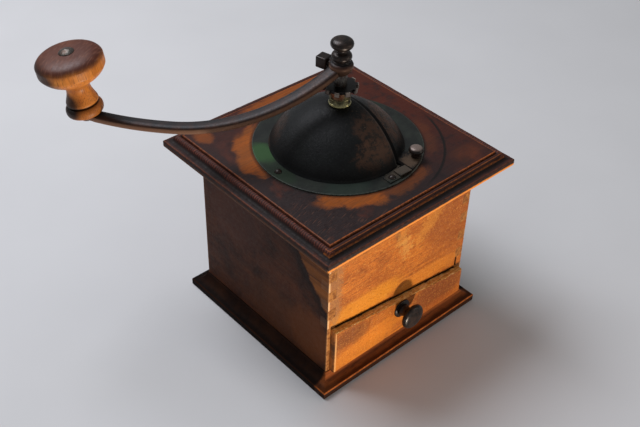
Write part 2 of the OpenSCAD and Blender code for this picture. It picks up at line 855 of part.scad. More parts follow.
module collar_nut() {
  color(steel) difference() {
    translate([0, 0, collar_nut_z]) cylinder(collar_nut_h, d = collar_nut_w, $fn = 6);
    translate([0, 0, collar_nut_z - 1]) cylinder(collar_nut_h + 2, r = sleeve_r + run_fit);
  }
}

// Notched nut whose teeth hang round the collar
module adjusting_nut() {
  tooth_mid = nut_d / 2 - tooth_depth / 2;
  color(iron) difference() {
    union() {
      translate([0, 0, nut_z]) cylinder(nut_t, d = nut_d - 2 * tooth_depth + 1);
      for (k = [0 : nut_teeth - 1])
        rotate(360 * k / nut_teeth) translate([tooth_mid, 0, nut_z + (nut_t - tooth_drop) / 2])
          cube([tooth_depth, tooth_w, nut_t + tooth_drop], center = true);
    }
    translate([0, 0, nut_z - 1]) cylinder(nut_t + 2, r = spindle_r + run_fit);
  }
}

// Places its child on the crank knob's axis, from the top of the arm's tip
module along_knob() {
  translate(arm_point(arm_len)) rotate([0, 0, crank_azimuth]) rotate([0, knob_lean, 0])
    translate([0, 0, tip_t / 2]) children();
}

module crank_arm() {
  span = arm_len - arm_root;
  color(iron) difference() {
    union() {
      skin([for (i = [0 : arm_rings]) arm_ring(arm_root + span * i / arm_rings)]);
      translate([0, 0, hub_z]) cylinder(hub_h, d = hub_d);
      along_knob() translate([0, 0, -tip_t]) cylinder(tip_t, r = tip_r);
    }
    translate([0, 0, hub_z - 2 * arm_t]) cylinder(2 * arm_t, r = spindle_r + run_fit);
    translate([0, 0, hub_z - 1]) rotate(screw_azimuth)
      translate([-square_w / 2 - run_fit, -square_w / 2 - run_fit, 0])
        cube([square_w + 2 * run_fit, square_w + 2 * run_fit, hub_h + 2]);
    along_knob() translate([0, 0, -2 * tip_t]) cylinder(3 * tip_t, r = knob_pin_r + run_fit);
    along_knob() translate([0, 0, -2 * tip_t]) cylinder(tip_t, r = tip_r);
    along_knob() cylinder(arm_t, r = knob_collar_d / 2 + slide_gap);
    along_arm_screw() cylinder(hub_d, d = arm_screw_d + 2 * run_fit);
  }
}

// Square-headed screw in the hub's far side
arm_screw_d = 4;
arm_screw_head = 7.6;
arm_screw_stand = 1.5;
arm_screw_turn = 66;
screw_azimuth = arm_start - arm_screw_turn;
module along_arm_screw() {
  translate([0, 0, hub_z + hub_h / 2]) rotate([0, 0, screw_azimuth]) rotate([0, 90, 0]) children();
}

module arm_screw() {
  reach = hub_d / 2 + arm_screw_stand;
  color(iron) along_arm_screw() {
    translate([0, 0, square_w / 2 + run_fit]) cylinder(reach - square_w / 2 + 1, d = arm_screw_d);
    translate([-arm_screw_head / 2, -arm_screw_head / 2, reach]) cube(arm_screw_head);
  }
}

// Turned finial: ring, cup, neck and a bun
module finial_nut() {
  bun_h = 0.42 * finial_h;
  bun_r = bun_h / 2;
  neck_r = 0.52 * finial_d / 2;
  cup_r = 0.87 * finial_d / 2;
  bun_z = finial_h - bun_r;
  cup_top = finial_h - bun_h - 0.9;
  color(iron) translate([0, 0, hub_top]) difference() {
    rotate_extrude() {
      polygon([
        [0, 0], [cup_r - 1, 0], [cup_r - 1, 0.8], [cup_r, 1.4], [cup_r, 2.6], [cup_r - 0.5, 4.4],
        [neck_r + 0.6, cup_top - 1], [neck_r, cup_top], [neck_r, bun_z], [0, bun_z]
      ]);
      intersection() {
        union() {
          translate([finial_d / 2 - bun_r, bun_z]) circle(bun_r);
          translate([0, bun_z - bun_r]) square([finial_d / 2 - bun_r, bun_h]);
        }
        translate([0, bun_z - bun_r]) square([finial_d, bun_h]);
        translate([0, finial_h - finial_d]) circle(finial_d);
      }
    }
    translate([0, 0, -1]) cylinder(thread_l + 1.5, r = thread_r + run_fit);
  }
}

// Pin riveted through the arm's tip, with a domed head on the knob's crown
module knob_pin() {
  head_z = knob_top + knob_gap;
  ball_r = (pow(pin_head_r, 2) + pow(pin_head_h, 2)) / (2 * pin_head_h);
  color(steel) along_knob() {
    translate([0, 0, -tip_t - pin_tail_h]) cylinder(pin_tail_h, r = pin_tail_r);
    translate([0, 0, -tip_t - join]) cylinder(head_z + tip_t + 2 * join, r = knob_pin_r);
    intersection() {
      translate([0, 0, head_z]) cylinder(pin_head_h + 1, r = pin_head_r);
      translate([0, 0, head_z + pin_head_h - ball_r]) sphere(ball_r);
    }
  }
}

module knob_collar() {
  edge_r = knob_collar_h / 2;
  color(oak) along_knob() translate([0, 0, knob_gap]) difference() {
    rotate_extrude() {
      translate([knob_collar_d / 2 - edge_r, edge_r]) circle(edge_r);
      square([knob_collar_d / 2 - edge_r, knob_collar_h]);
    }
    translate([0, 0, -1]) cylinder(knob_collar_h + 2, r = knob_pin_r + run_fit);
  }
}

// Turned knob: flared foot, waisted neck and a mushroom head with a low crown
module crank_knob() {
  foot_r = knob_collar_d / 2 - 1.6;
  foot_t = 3;
  neck_r = knob_neck_d / 2;
  head_mid = knob_h - knob_head_r - 1.2;
  waist_r = head_mid - knob_head_r - foot_t;
  crown_r = 1.6 * knob_d;
  color(oak) along_knob() translate([0, 0, knob_low]) difference() {
    rotate_extrude() intersection() {
      union() {
        square([foot_r, foot_t]);
        difference() {
          square([neck_r + waist_r / 2, head_mid]);
          translate([neck_r + waist_r / 2, foot_t + waist_r / 2]) circle(waist_r / 2);
          translate([foot_r, 0]) square([foot_r, foot_t + waist_r / 2]);
        }
        translate([knob_d / 2 - knob_head_r, head_mid]) circle(knob_head_r);
        translate([0, head_mid - knob_head_r]) square([knob_d / 2 - knob_head_r, knob_h - head_mid + knob_head_r]);
      }
      translate([0, knob_h - crown_r]) circle(crown_r);
      square([knob_d, knob_h]);
    }
    translate([0, 0, -1]) cylinder(knob_h + 2, r = knob_pin_r + run_fit);
  }
}

base_board();
left_wall();
right_wall();
back_wall();
front_wall();
top_board();
corner_blocks();
base_screws();
drawer_runners();
drawer_front();
drawer_left_side();
drawer_right_side();
drawer_back();
drawer_bottom();
drawer_knob_rose();
drawer_knob();
drawer_knob_screw();
mill_housing();
grind_ring();
grind_cone();
drive_pin();
bridge_bar();
bridge_screws();
lower_bush();
spindle();
feed_pin();
spring_washer();
spindle_spring();
hopper_dome();
dome_shutter();
shutter_knob();
shutter_clip();
flange_screws();
spindle_collar();
collar_nut();
adjusting_nut();
crank_arm();
arm_screw();
finial_nut();
knob_pin();
knob_collar();
crank_knob();
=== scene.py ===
"""Looks of an old hand-cranked box coffee mill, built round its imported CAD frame.

Run as a script. Meshes are in metres, and every piece sits where the frame says. Outlines of
turned pieces, and the places of marks in the finishes, are in millimetres.
"""
import functools
import json
import math
from types import SimpleNamespace

import bmesh
import bpy
from bpy.props import FloatProperty, FloatVectorProperty, IntProperty, PointerProperty
from mathutils import Matrix, Vector, noise


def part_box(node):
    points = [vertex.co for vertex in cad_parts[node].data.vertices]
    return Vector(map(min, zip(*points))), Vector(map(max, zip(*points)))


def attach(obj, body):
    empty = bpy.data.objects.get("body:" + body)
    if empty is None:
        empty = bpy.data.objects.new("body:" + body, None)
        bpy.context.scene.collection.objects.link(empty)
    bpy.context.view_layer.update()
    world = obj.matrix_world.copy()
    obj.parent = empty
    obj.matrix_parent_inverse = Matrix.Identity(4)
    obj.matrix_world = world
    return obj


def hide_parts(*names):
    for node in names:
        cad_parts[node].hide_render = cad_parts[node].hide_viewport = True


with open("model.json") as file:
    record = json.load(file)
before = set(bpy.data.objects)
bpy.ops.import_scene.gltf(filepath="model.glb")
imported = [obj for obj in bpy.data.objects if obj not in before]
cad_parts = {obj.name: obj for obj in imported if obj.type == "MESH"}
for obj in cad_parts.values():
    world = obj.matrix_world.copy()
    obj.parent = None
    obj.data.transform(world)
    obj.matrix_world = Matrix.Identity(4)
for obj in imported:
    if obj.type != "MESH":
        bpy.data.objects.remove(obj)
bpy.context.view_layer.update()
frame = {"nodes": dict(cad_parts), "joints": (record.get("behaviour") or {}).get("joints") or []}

bl_info = {
    "name": "Box coffee mill",
    "version": (1, 0, 0),
    "blender": (4, 5, 0),
    "location": "View3D > Sidebar > Mill",
    "description": "Dresses the packed solids of a hand-cranked coffee mill",
    "category": "Object",
}

MM = 0.001
JOINTS = {joint["name"]: joint for joint in frame["joints"]}
KNOB_SEAT = Vector(JOINTS["knob_spin"]["pos_m"])
KNOB_AXIS = Vector(JOINTS["knob_spin"]["axis"]).normalized()
HUB_LOW = JOINTS["crank_spin"]["pos_m"][2]
TOP_LOW, TOP_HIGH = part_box("top_board")
BASE_LOW, BASE_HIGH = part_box("base_board")
DOME_LOW, DOME_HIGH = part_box("hopper_dome")
FINIAL_LOW, FINIAL_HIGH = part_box("finial_nut")
# The crank arm: bearing of its knob, its bend in plan, half the thickness of its flattened tip,
# and how far its hub's screw stands from the way it sets out
KNOB_BEARING = math.atan2(KNOB_SEAT.y, KNOB_SEAT.x)
ARM_BEND = math.radians(55)
TIP_HALF = 1.5 * MM
SCREW_TURN = math.radians(66)


def paint(code):
    """Linear red, green and blue of an sRGB hex colour."""
    parts = [int(code[i:i + 2], 16) / 255 for i in (1, 3, 5)]
    return tuple(v / 12.92 if v <= 0.04045 else ((v + 0.055) / 1.055) ** 2.4 for v in parts)


def opaque(shade):
    """A colour with its alpha, from a hex code or from linear values."""
    return (*(paint(shade) if isinstance(shade, str) else shade), 1.0)


def length(name, description, default):
    """A length in metres that a user may change."""
    return FloatProperty(name=name, description=description, default=default, unit="LENGTH", precision=5)


def colour(name, description, code):
    """A colour that a user may change."""
    return FloatVectorProperty(
        name=name, description=description, default=paint(code), size=3, subtype="COLOR", min=0, max=1
    )


class MillSizes(bpy.types.PropertyGroup):
    """Sizes of the dressed pieces"""

    moulding: length("Moulding", "Width of the moulding round the top board's panel", 9 * MM)
    bead: length("Bead", "Radius of the half-round bead in the top moulding", 2 * MM)
    top_cove: length("Top cove", "Radius of the cove in the top moulding", 2.2 * MM)
    top_edge: length("Top edge", "Height of the top board's plain edge", 5 * MM)
    base_lip: length("Base lip", "Height of the base board's lip", 5.5 * MM)
    base_cove: length("Base cove", "Radius of the base board's cove", 7 * MM)
    arris: length("Arris", "How much the wooden edges are worn round", 0.7 * MM)
    dome_base: length("Dome base", "Radius of the dome where it meets the flange", 44.5 * MM)
    dome_rise: length("Dome rise", "Height of the full dome over the flange", 30 * MM)
    sheet: length("Sheet", "Thickness of the hopper's sheet iron", 0.9 * MM)
    filling_edge: length("Filling edge", "Distance of the dome's cut edge from the spindle", 10 * MM)
    crank_reach: length("Crank reach", "Distance of the knob's pin from the spindle", 155 * MM)
    arm_drop: length("Arm drop", "How far the arm falls from its hub", 31 * MM)
    arm_fall: length("Arm fall", "Length of the arm over which it falls", 106 * MM)
    arm_wide: length("Arm width", "Width of the arm at the hub", 10 * MM)
    arm_end: length("Arm end width", "Width of the arm at the knob", 8 * MM)
    arm_thick: length("Arm thickness", "Thickness of the arm", 5.6 * MM)
    knob_wide: length("Knob width", "Largest diameter of the crank knob", 41.0 * MM)
    knob_shoulder: length("Knob shoulder", "Height over the arm where the crown darkens", 36.5 * MM)
    spindle: length("Spindle", "Diameter of the spindle", 8 * MM)
    spring_turns: IntProperty(name="Spring turns", description="Turns of the spring", default=7, min=3)
    sides: IntProperty(name="Sides", description="Steps round a turned piece", default=96, min=24)


class MillColours(bpy.types.PropertyGroup):
    """Colours of the finishes"""

    bare_oak: colour("Bare oak", "Wood where the stain has worn away", "#a4530f")
    waxed_oak: colour("Waxed oak", "Front of the case and the drawer", "#b9661f")
    dark_oak: colour("Dark oak", "Shaded bands in the waxed wood", "#733611")
    # Its grey is partly a painted reflection
    stain: colour("Stain", "Grey-black stain at the top board's near corner", "#251a1a")
    maroon: colour("Maroon stain", "Red-brown stain at the top board's far corner", "#45190d")
    # Its darkness is partly painted shade
    side_stain_and_shade: colour("Side stain", "Dark brown stain of the side walls", "#4a2717")
    # Also painted shade on the base board
    soot_and_shade: colour("Soot", "Black dirt in the coves", "#0c0807")
    inner: colour("Inner wood", "Bare planed wood inside the case", "#9c7146")
    knob_crown: colour("Knob crown", "Dark scratched crown of the crank knob", "#4e2415")
    knob_side: colour("Knob side", "Worn sides of the crank knob", "#e48c38")
    japan: colour("Black japan", "Baked black lacquer of the hopper", "#0f1011")
    green: colour("Green paint", "Old green paint on the flange", "#294a24")
    rust: colour("Rust", "Brown rust on iron", "#543a2b")
    iron: colour("Blackened iron", "Turned iron fittings", "#191513")
    patina: colour("Brown patina", "Oxide on the forged arm", "#482c20")
    # Used as painted light on the crank arm's lower faces
    copper: colour("Rubbed edge", "Coppery bright steel where hands rub", "#86614a")
    steel: colour("Steel", "Dulled bare steel", "#77736d")
    brass: colour("Brass", "Aged greenish brass", "#9a936a")
    floor: colour("Floor", "Pale floor", "#d4d4d5")


def sizes():
    return bpy.context.scene.mill_sizes


def colours():
    return bpy.context.scene.mill_colours


# Material building

SOFT = {"interpolation_type": "SMOOTHSTEP"}
TIMES = {"operation": "MULTIPLY"}
PLUS = {"operation": "ADD"}
TIMES_PLUS = {"operation": "MULTIPLY_ADD"}
SIZELESS = {"operation": "ABSOLUTE"}
# Scale of a board's patterns along its grain, which draws them out
GRAIN_DRAW = 0.06


def per_mm(size):
    """Scale of a pattern whose marks are about size millimetres across."""
    return 1 / (size * MM)


class Finish:
    """A material while it is built, with its shader and object coordinates"""

    def __init__(self, name):
        self.material = bpy.data.materials.new(name)
        self.material.use_nodes = True
        self.shader = self.material.node_tree.nodes["Principled BSDF"]
        self.place = self.add("TexCoord")["Object"]

    def give(self, socket, value):
        """Links a socket to another or sets its value, unless that is None."""
        if isinstance(value, bpy.types.NodeSocket):
            self.material.node_tree.links.new(value, socket)
        elif value is not None:
            socket.default_value = opaque(value) if socket.type == "RGBA" else value

    def add(self, kind, *inputs, stops=(), named=None, **settings):
        """Adds a node and its settings. Inputs, in order or named, are links, values, hex codes or None."""
        node = self.material.node_tree.nodes.new("ShaderNode" + kind)
        for key, value in settings.items():
            setattr(node, key, value)
        for socket, value in zip(node.inputs, inputs):
            self.give(socket, value)
        for key, value in (named or {}).items():
            self.give(node.inputs[key], value)
        if stops:
            ramp = node.color_ramp
            while len(ramp.elements) < len(stops):
                ramp.elements.new(0.5)
            for element, (position, shade) in zip(ramp.elements, stops):
                element.position = position
                element.color = opaque(shade)
        return node.outputs

    def mask(self, *shares):
        """Product of shares: numbers, sockets, or a measure with the bounds between which it rises.

        It rises smoothly from 0 to 1, or in a straight line between two shares that follow the bounds.
        """
        product = None
        for share in shares:
            if isinstance(share, tuple):
                share = self.add("MapRange", *share, **({} if len(share) > 3 else SOFT))[0]
            product = share if product is None else self.add("Math", product, share, **TIMES)[0]
        return product

    def layer(self, under, shade, *shares):
        """Lays a colour over another where all the shares let it show."""
        return self.add("MixRGB", self.mask(*shares), under, shade)[0]

    def layers(self, under, *rows):
        """Lays colours over another in turn. Each row is a colour and its shares."""
        for row in rows:
            under = self.layer(under, *row)
        return under

    def band(self, value, rise, full, fall, end):
        """1 between full and fall, 0 before rise and after end."""
        return self.mask((value, rise, full), (value, end, fall))

    def frayed(self, value, ragged, depth):
        """A measure whose edges waver by up to half of depth."""
        shift = self.add("Math", ragged, 0.5, operation="SUBTRACT")[0]
        return self.add("Math", shift, depth, value, **TIMES_PLUS)[0]

    def patched(self, under, ragged, fray, *spots):
        """Lays ragged spots over a colour.

        Each is a colour, its centre and its reach along each axis in millimetres, a strength, and a
        turn about Y if any.
        """
        for shade, centre, reach, strength, *lean in spots:
            spot = ([c * MM for c in centre], (0, lean[0], 0) if lean else None, [r * MM for r in reach])
            own = self.add("Mapping", self.place, *spot, vector_type="TEXTURE")[0]
            away = self.add("VectorMath", own, operation="LENGTH")["Value"]
            under = self.layer(under, shade, (self.frayed(away, ragged, 2 * fray), 1.25, 0.6), strength)
        return under

    def grain(self, place, along, band_mm):
        """Fibres, growth bands, pores and mottling of a board sawn along one axis."""
        stretch = [1.0, 1.0, 1.0]
        stretch["xyz".index(along)] = GRAIN_DRAW
        drawn = self.add("Mapping", place, None, None, stretch)[0]
        return SimpleNamespace(**{
            name: self.add(
                "TexNoise", where, None, per_mm(size), detail, rough, named={"Distortion": distortion}
            )[0]
            for name, where, size, detail, rough, distortion in (
                ("fibre", drawn, 0.9, 6.0, 0.7, 0.0),
                ("band", drawn, band_mm, 5.0, 0.6, 0.5),
                ("pore", drawn, 0.45, 2.0, 0.5, 0.0),
                ("cloud", place, 26, 6.0, 0.66, 0.4),
                ("ragged", place, 11, 8.0, 0.7, 0.3),
                ("fine", place, 2.2, 4.0, 0.7, 0.0),
                ("grit", place, 0.9, 3.0, 0.7, 0.0),
            )
        })

    def skin(self, cloud_mm, cloud_detail, fine_mm):
        """Clouding and fine unevenness of a metal's surface."""
        cloud = self.add("TexNoise", self.place, None, per_mm(cloud_mm), cloud_detail, 0.65)[0]
        fine = self.add("TexNoise", self.place, None, per_mm(fine_mm), 4.0, 0.7)[0]
        return cloud, fine

    def scratches(self, place, turned, long_mm):
        """Streaks of a given length, turned about Z, 0.8 mm apart: coarser than real, so that they show."""
        stretch = (long_mm * MM, 0.8 * MM, 1)
        drawn = self.add("Mapping", place, None, (0, 0, turned), stretch, vector_type="TEXTURE")[0]
        return self.add("TexNoise", drawn, None, 1.0, 2.0)[0]

    def measured(self, place):
        """A place's x, y and z in millimetres."""
        return self.add("SeparateXYZ", self.add("VectorMath", place, (1 / MM, 1 / MM, 1 / MM), **TIMES)[0])

    def square_reach(self, which="MAXIMUM"):
        """How far out a point lies on a square board in millimetres, and the point's own x, y and z."""
        parts = self.measured(self.place)
        sides = [self.add("Math", parts[i], **SIZELESS)[0] for i in (0, 1)]
        return self.add("Math", *sides, operation=which)[0], parts

    def round_reach(self):
        """Distance of a point from the spindle's axis in millimetres."""
        flat = self.add("VectorMath", self.place, (1 / MM, 1 / MM, 0), **TIMES)[0]
        return self.add("VectorMath", flat, operation="LENGTH")["Value"]

    def facing(self):
        """The surface's own direction as x, y and z."""
        return self.add("SeparateXYZ", self.add("TexCoord")["Normal"])

    def finished(self, shade, rough, height, bump_mm, metallic=0.0, edge_mm=0.0, strength=0.6, shine=0.5):
        """Wires colour, roughness and relief to the shader, with rounded edges. Returns the material."""
        edge = self.add("Bevel", edge_mm * MM, samples=6)[0] if edge_mm else None
        relief = {"Strength": strength, "Distance": bump_mm * MM, "Height": height, "Normal": edge}
        for name, value in (
            ("Base Color", shade),
            ("Metallic", metallic),
            ("Roughness", self.mask(rough)),
            ("Specular IOR Level", shine),
            ("Normal", self.add("Bump", named=relief)[0]),
        ):
            self.give(self.shader.inputs[name], value)
        return self.material


def stained_oak_top():
    """Oak with a dark spirit stain, rubbed through to orange wood at arrises and where hands rest."""
    c = colours()
    m = Finish("stained_oak_rubbed")
    g = m.grain(m.place, "x", 9.0)
    reach, (x, y, z) = m.square_reach()
    ring = m.round_reach()
    diagonal = m.add("Math", x, y, **PLUS)[0]
    # Stain lies unevenly: grey-black at the near corner, partly a painted reflection, maroon towards the
    # far one
    shade = m.layers(
        c.stain,
        (c.maroon, (m.frayed(diagonal, g.cloud, 90), -80, 90)),
        ("#1c1314", (g.ragged, 0.52, 0.36), 0.65),
        ("#57291a", (g.cloud, 0.52, 0.72), 0.6),
        ("#54301f", (g.fibre, 0.5, 0.72), 0.3),
    )
    bare = m.layers(
        c.bare_oak,
        ("#8d4c18", (g.band, 0.35, 0.65)),
        ("#6e3a14", (g.fibre, 0.55, 0.4), 0.45),
        ("#4a2610", (g.pore, 0.56, 0.68), 0.5),
    )
    # Crescents rubbed round the flange, each from one bearing to another in degrees, out to a radius
    bearing = m.add("Math", y, x, operation="ARCTAN2")[0]
    around = m.frayed(bearing, g.ragged, 0.5)
    outward = m.frayed(ring, g.ragged, 16)
    for start, stop, outer, strength in (
        (120, 140, 62.0, 0.75),
        (134, 170, 66.0, 0.9),
        (164, 180, 61.0, 0.7),
        (-144, -104, 66.0, 0.75),
        (-108, -66, 63.0, 0.3),
        (-50, -14, 63.0, 0.12),
    ):
        swept = m.band(around, *(math.radians(a) for a in (start - 5, start + 5, stop - 5, stop + 5)))
        shade = m.layer(shade, bare, swept, (outward, outer + 2.5, outer - 2.5), strength)
    # Strips along the far left edge and spots at the right corner
    shade = m.patched(
        shade, g.ragged, 0.9,
        (bare, (14, 66, 130), (44, 6, 30), 0.7),
        (bare, (-32, 62, 130), (18, 5, 30), 0.4),
        (bare, (56, -60, 130), (14, 8, 30), 0.08),
        (bare, (-62, 60, 130), (6, 9, 30), 0.5),
    )
    right = m.add("Math", x, y, operation="SUBTRACT")[0]
    shade = m.layers(
        shade,
        # Fine scratches through the stain at the near corner
        (
            "#7d4f3a", (m.scratches(m.place, 0.29, 9), 0.6, 0.7),
            (m.frayed(diagonal, g.cloud, 70), -80, -100), 0.3,
        ),
        # The ring scored round the flange's right side, and soot along the flange
        (c.soot_and_shade, m.band(ring, 67, 67.6, 68.4, 69.6), (right, 75, 88), 0.9),
        (c.soot_and_shade, (ring, 57.4, 55.6), 0.6),
    )
    # Moulding: bead with chatter marks drawn at 1.8 mm, coarser than the cutter left, so that they show
    bead = m.band(reach, 70.9, 71.2, 74.8, 75.3)
    per_metre = 2 * math.pi / (20 * 1.8 * MM)
    chatter = m.add("TexWave", m.place, per_metre, 5.0, 3.0, 1.2, bands_direction="Y")["Fac"]
    side_bead = m.mask((m.add("Math", x, **SIZELESS)[0], 70.5, 71, 0, 1))
    bead_shade = m.layers(
        "#361b15",
        ("#7a4132", (chatter, 0.35, 0.8), side_bead, (g.fine, 0.38, 0.6, 0.15, 1.0), 0.8),
        ("#3d2018", (g.ragged, 0.46, 0.62), 0.4),
    )
    # Arrises worn bright, most on the drawer's side
    uneven = m.mask((g.fine, 0.36, 0.6, 0.3, 0.95))
    drawer_side = m.mask((y, -70, -70.6))
    inner = m.band(reach, 70, 70.4, 70.8, 71.1)
    shade = m.layers(
        shade,
        (bead_shade, bead, 0.92),
        (c.soot_and_shade, m.band(reach, 70.95, 71.3, 71.7, 72.1), 0.9),
        ("#140d0b", m.band(reach, 74.9, 75.5, 77.2, 78.4), 0.85),
        ("#b4602a", inner, uneven, (drawer_side, 0, 1, 0.5, 1.0)),
    )
    for start in (73.6, 74.9):
        line = m.band(reach, start, start + 0.2, start + 0.4, start + 0.6)
        shade = m.layer(shade, "#b0622a", line, drawer_side, uneven, 0.75)
    rim = m.mask((reach, 78.9, 79.5))
    foot = m.frayed(z, g.fine, 1.2)
    shade = m.layers(
        shade,
        (m.layer("#1d120e", "#3c2016", (g.fine, 0.4, 0.65)), rim, 0.9),
        # A painted highlight along the front rim's lower arris
        ("#d98434", rim, (foot, 122.8, 121.9), (y, -78.8, -79.3, 0.08, 0.95)),
        ("#7d4630", rim, (z, 124.7, 125.3), uneven, 0.6),
    )
    gloss = m.mask((g.fine, 0.3, 0.7, 0.34, 0.58))
    rough = m.add("Math", m.mask((reach, 70.6, 71.4)), 0.22, gloss, use_clamp=True, **TIMES_PLUS)[0]
    height = m.add("Math", m.mask(chatter, bead, side_bead), 0.7, g.fibre, **TIMES_PLUS)[0]
    return m.finished(shade, rough, height, 0.25, strength=0.5, shine=0.22)


def stained_oak_base():
    """Stained oak: red-brown cove, soot and painted shade by the lip, orange rubbed lip, nearly black at
    the left, partly as painted shade.
    """
    c = colours()
    m = Finish("stained_oak_soot_and_shade")
    g = m.grain(m.place, "x", 8.0)
    reach, (_, y, z) = m.square_reach()
    warm = m.layers("#9c5528", ("#66351b", (g.band, 0.3, 0.7)), ("#24130b", (g.pore, 0.55, 0.68), 0.5))
    drawer_side = m.mask((y, -61, -63.5))
    lip = m.mask((reach, 70.8, 71.3))
    uneven = (g.fine, 0.36, 0.6, 0.4, 1.0)
    # Off the drawer's side, and in the cove by the lip, the black is soot and painted shade
    shade = m.layers(
        c.soot_and_shade,
        ("#1d110b", (g.cloud, 0.42, 0.7)),
        (warm, (drawer_side, 0, 1, 0.04, 1.0)),
        (c.soot_and_shade, (m.frayed(reach, g.cloud, 5), 66.8, 69.6), 0.72),
        ("#b0602c", lip, (z, 4.0, 5.0), uneven, (drawer_side, 0, 1, 0.06, 1.0)),
        ("#160d0a", lip, (z, 4.6, 3.6), 0.75),
    )
    gloss = m.mask((g.fine, 0.3, 0.7, 0.64, 0.82))
    rough = m.add("Math", gloss, m.mask(drawer_side, 0.2), operation="SUBTRACT")[0]
    return m.finished(shade, rough, g.fibre, 0.25, strength=0.5, shine=0.06)


def stained_side(m, g):
    """Colour of the side walls: cloudy brown stain, partly painted shade, bare at the left wall's upper
    front corner.
    """
    x, y, z = m.measured(m.place)
    # The stain's dark tones are partly painted shade
    stain = ((0.3, "#24140e"), (0.5, colours().side_stain_and_shade), (0.72, "#582f18"))
    streaks = m.mask((g.band, 0.42, 0.66))
    shade = m.layers(
        m.add("ValToRGB", g.cloud, stops=stain)[0],
        ("#26150f", streaks, 0.45),
        ("#5c3822", (g.fibre, 0.54, 0.72), 0.25),
        ("#140b08", (g.pore, 0.57, 0.68), 0.6),
    )
    shade = m.patched(
        shade, g.ragged, 0.6,
        ("#6b3a18", (-62, -46, 34), (20, 22, 22), 0.6),
        ("#532d14", (-62, -16, 30), (20, 34, 22), 0.5),
        ("#4c2c22", (-62, 30, 84), (20, 30, 24), 0.6),
        ("#8a5228", (62, -50, 70), (20, 26, 40), 0.45),
        ("#8a5228", (62, 20, 40), (20, 40, 20), 0.3),
        ("#8a5228", (10, 62, 80), (50, 20, 30), 0.3),
    )
    # The triangle runs from the corner along the wall's top and down its front, with a dark line round it
    corner_y, corner_z, top_run, front_run = -62.5, 120, 51, 59
    across = m.add("Math", y, 1 / top_run, -corner_y / top_run, **TIMES_PLUS)[0]
    down = m.add("Math", z, -1 / front_run, corner_z / front_run, **TIMES_PLUS)[0]
    from_corner = m.frayed(m.add("Math", across, down, **PLUS)[0], g.ragged, 0.35)
    left = m.mask((x, -61, -62))
    worn = m.layers("#965a28", ("#5c3519", streaks), ("#2a160c", (g.fibre, 0.56, 0.7), 0.6))
    return m.layers(
        shade,
        ("#170d09", m.band(from_corner, 0.9, 1.0, 1.04, 1.2), left, 0.75),
        (worn, (from_corner, 1.0, 0.93), left, 0.9),
    )


def stained_oak_walls():
    """Planed oak with brown stain rubbed to cloudy patches, bare towards the drawer's side."""
    m = Finish("stained_oak_planed")
    g = m.grain(m.place, "y", 10.0)
    inmost, (_, y, _) = m.square_reach("MINIMUM")
    end_grain = m.layer("#7a4720", "#b3773c", (g.fine, 0.35, 0.65))
    shade = m.layers(
        stained_side(m, g),
        # Ends of the corner fingers on the drawer's side, and the worn light arris at the corners
        (end_grain, (m.facing()[1], -0.5, -0.8), 0.9),
        ("#b98353", (inmost, 61.4, 62.1), (g.fine, 0.34, 0.56, 0, 1), (y, 20, -20, 0.25, 0.7)),
    )
    gloss = (g.fine, 0.3, 0.7, 0.46, 0.68)
    return m.finished(shade, gloss, g.fibre, 0.2, edge_mm=0.7, strength=0.5, shine=0.12)


def waxed_oak(name, spots, side_tint, edge_mm):
    """Waxed oak with an open grain: honey streaks, dark pores, grit and dust, rubbed light places.

    Each spot is its fray, then what a ragged spot takes. Without a side tint the ends have the side
    walls' stain.
    """
    c = colours()
    m = Finish(name)
    g = m.grain(m.place, "x", 6.0)
    tone = m.add("MixRGB", 0.62, g.band, g.fibre)[0]
    shade = m.layers(
        m.add("ValToRGB", tone, stops=((0.3, c.dark_oak), (0.5, c.waxed_oak), (0.7, "#cc7c28")))[0],
        ("#7f3c12", (g.cloud, 0.56, 0.36), 0.5),
        ("#42220e", (g.pore, 0.55, 0.66), 0.6),
    )
    for fray, *spot in spots:
        shade = m.patched(shade, g.fine if fray > 1 else g.ragged, fray, spot)
    if side_tint:
        ends = m.layer("#4f2f1b", side_tint, (g.ragged, 0.36, 0.6))
    else:
        ends = stained_side(m, m.grain(m.place, "y", 10.0))
    sideways = m.add("Math", m.facing()[0], **SIZELESS)[0]
    shade = m.layers(
        shade,
        # Grit: light dust and dark specks, about a millimetre across
        ("#e2a450", (g.grit, 0.55, 0.68), 0.45),
        ("#522b0c", (g.grit, 0.44, 0.32), 0.5),
        (ends, (sideways, 0.5, 0.8), 0.96),
    )
    height = m.add("Math", g.grit, 0.6, g.fibre, **TIMES_PLUS)[0]
    return m.finished(shade, (g.fine, 0.3, 0.7, 0.44, 0.68), height, 0.3, edge_mm=edge_mm, shine=0.22)


def front_oak():
    """The front board: bright band over the drawer, redder upper right, pale spots, dusty left edge."""
    return waxed_oak("waxed_oak_front", (
        (0.5, "#d8881f", (-30, -62, 54), (34, 20, 9), 0.7),
        (0.5, "#cc7a24", (30, -62, 46), (34, 20, 7), 0.55),
        (0.6, "#8a4618", (46, -62, 84), (24, 20, 28), 0.65),
        (0.6, "#8f5522", (-30, -62, 108), (30, 20, 12), 0.5),
        (1.6, "#cb8430", (25, -62, 91), (18, 20, 6.5), 0.45, -0.78),
        (1.3, "#8d6c48", (-57, -62, 84), (6, 20, 40), 0.5),
        (0.5, "#e2b483", (-62.5, -62, 70), (1.6, 20, 60), 0.8),
        (1.2, "#6d4220", (-5, -62, 96), (3, 20, 5), 0.6),
        (2.4, "#cf9444", (-1, -62, 91), (6, 20, 7), 0.32, 0.4),
        (2.4, "#d29c50", (4, -62, 81), (5, 20, 8), 0.34, -0.3),
    ), None, 0.6)


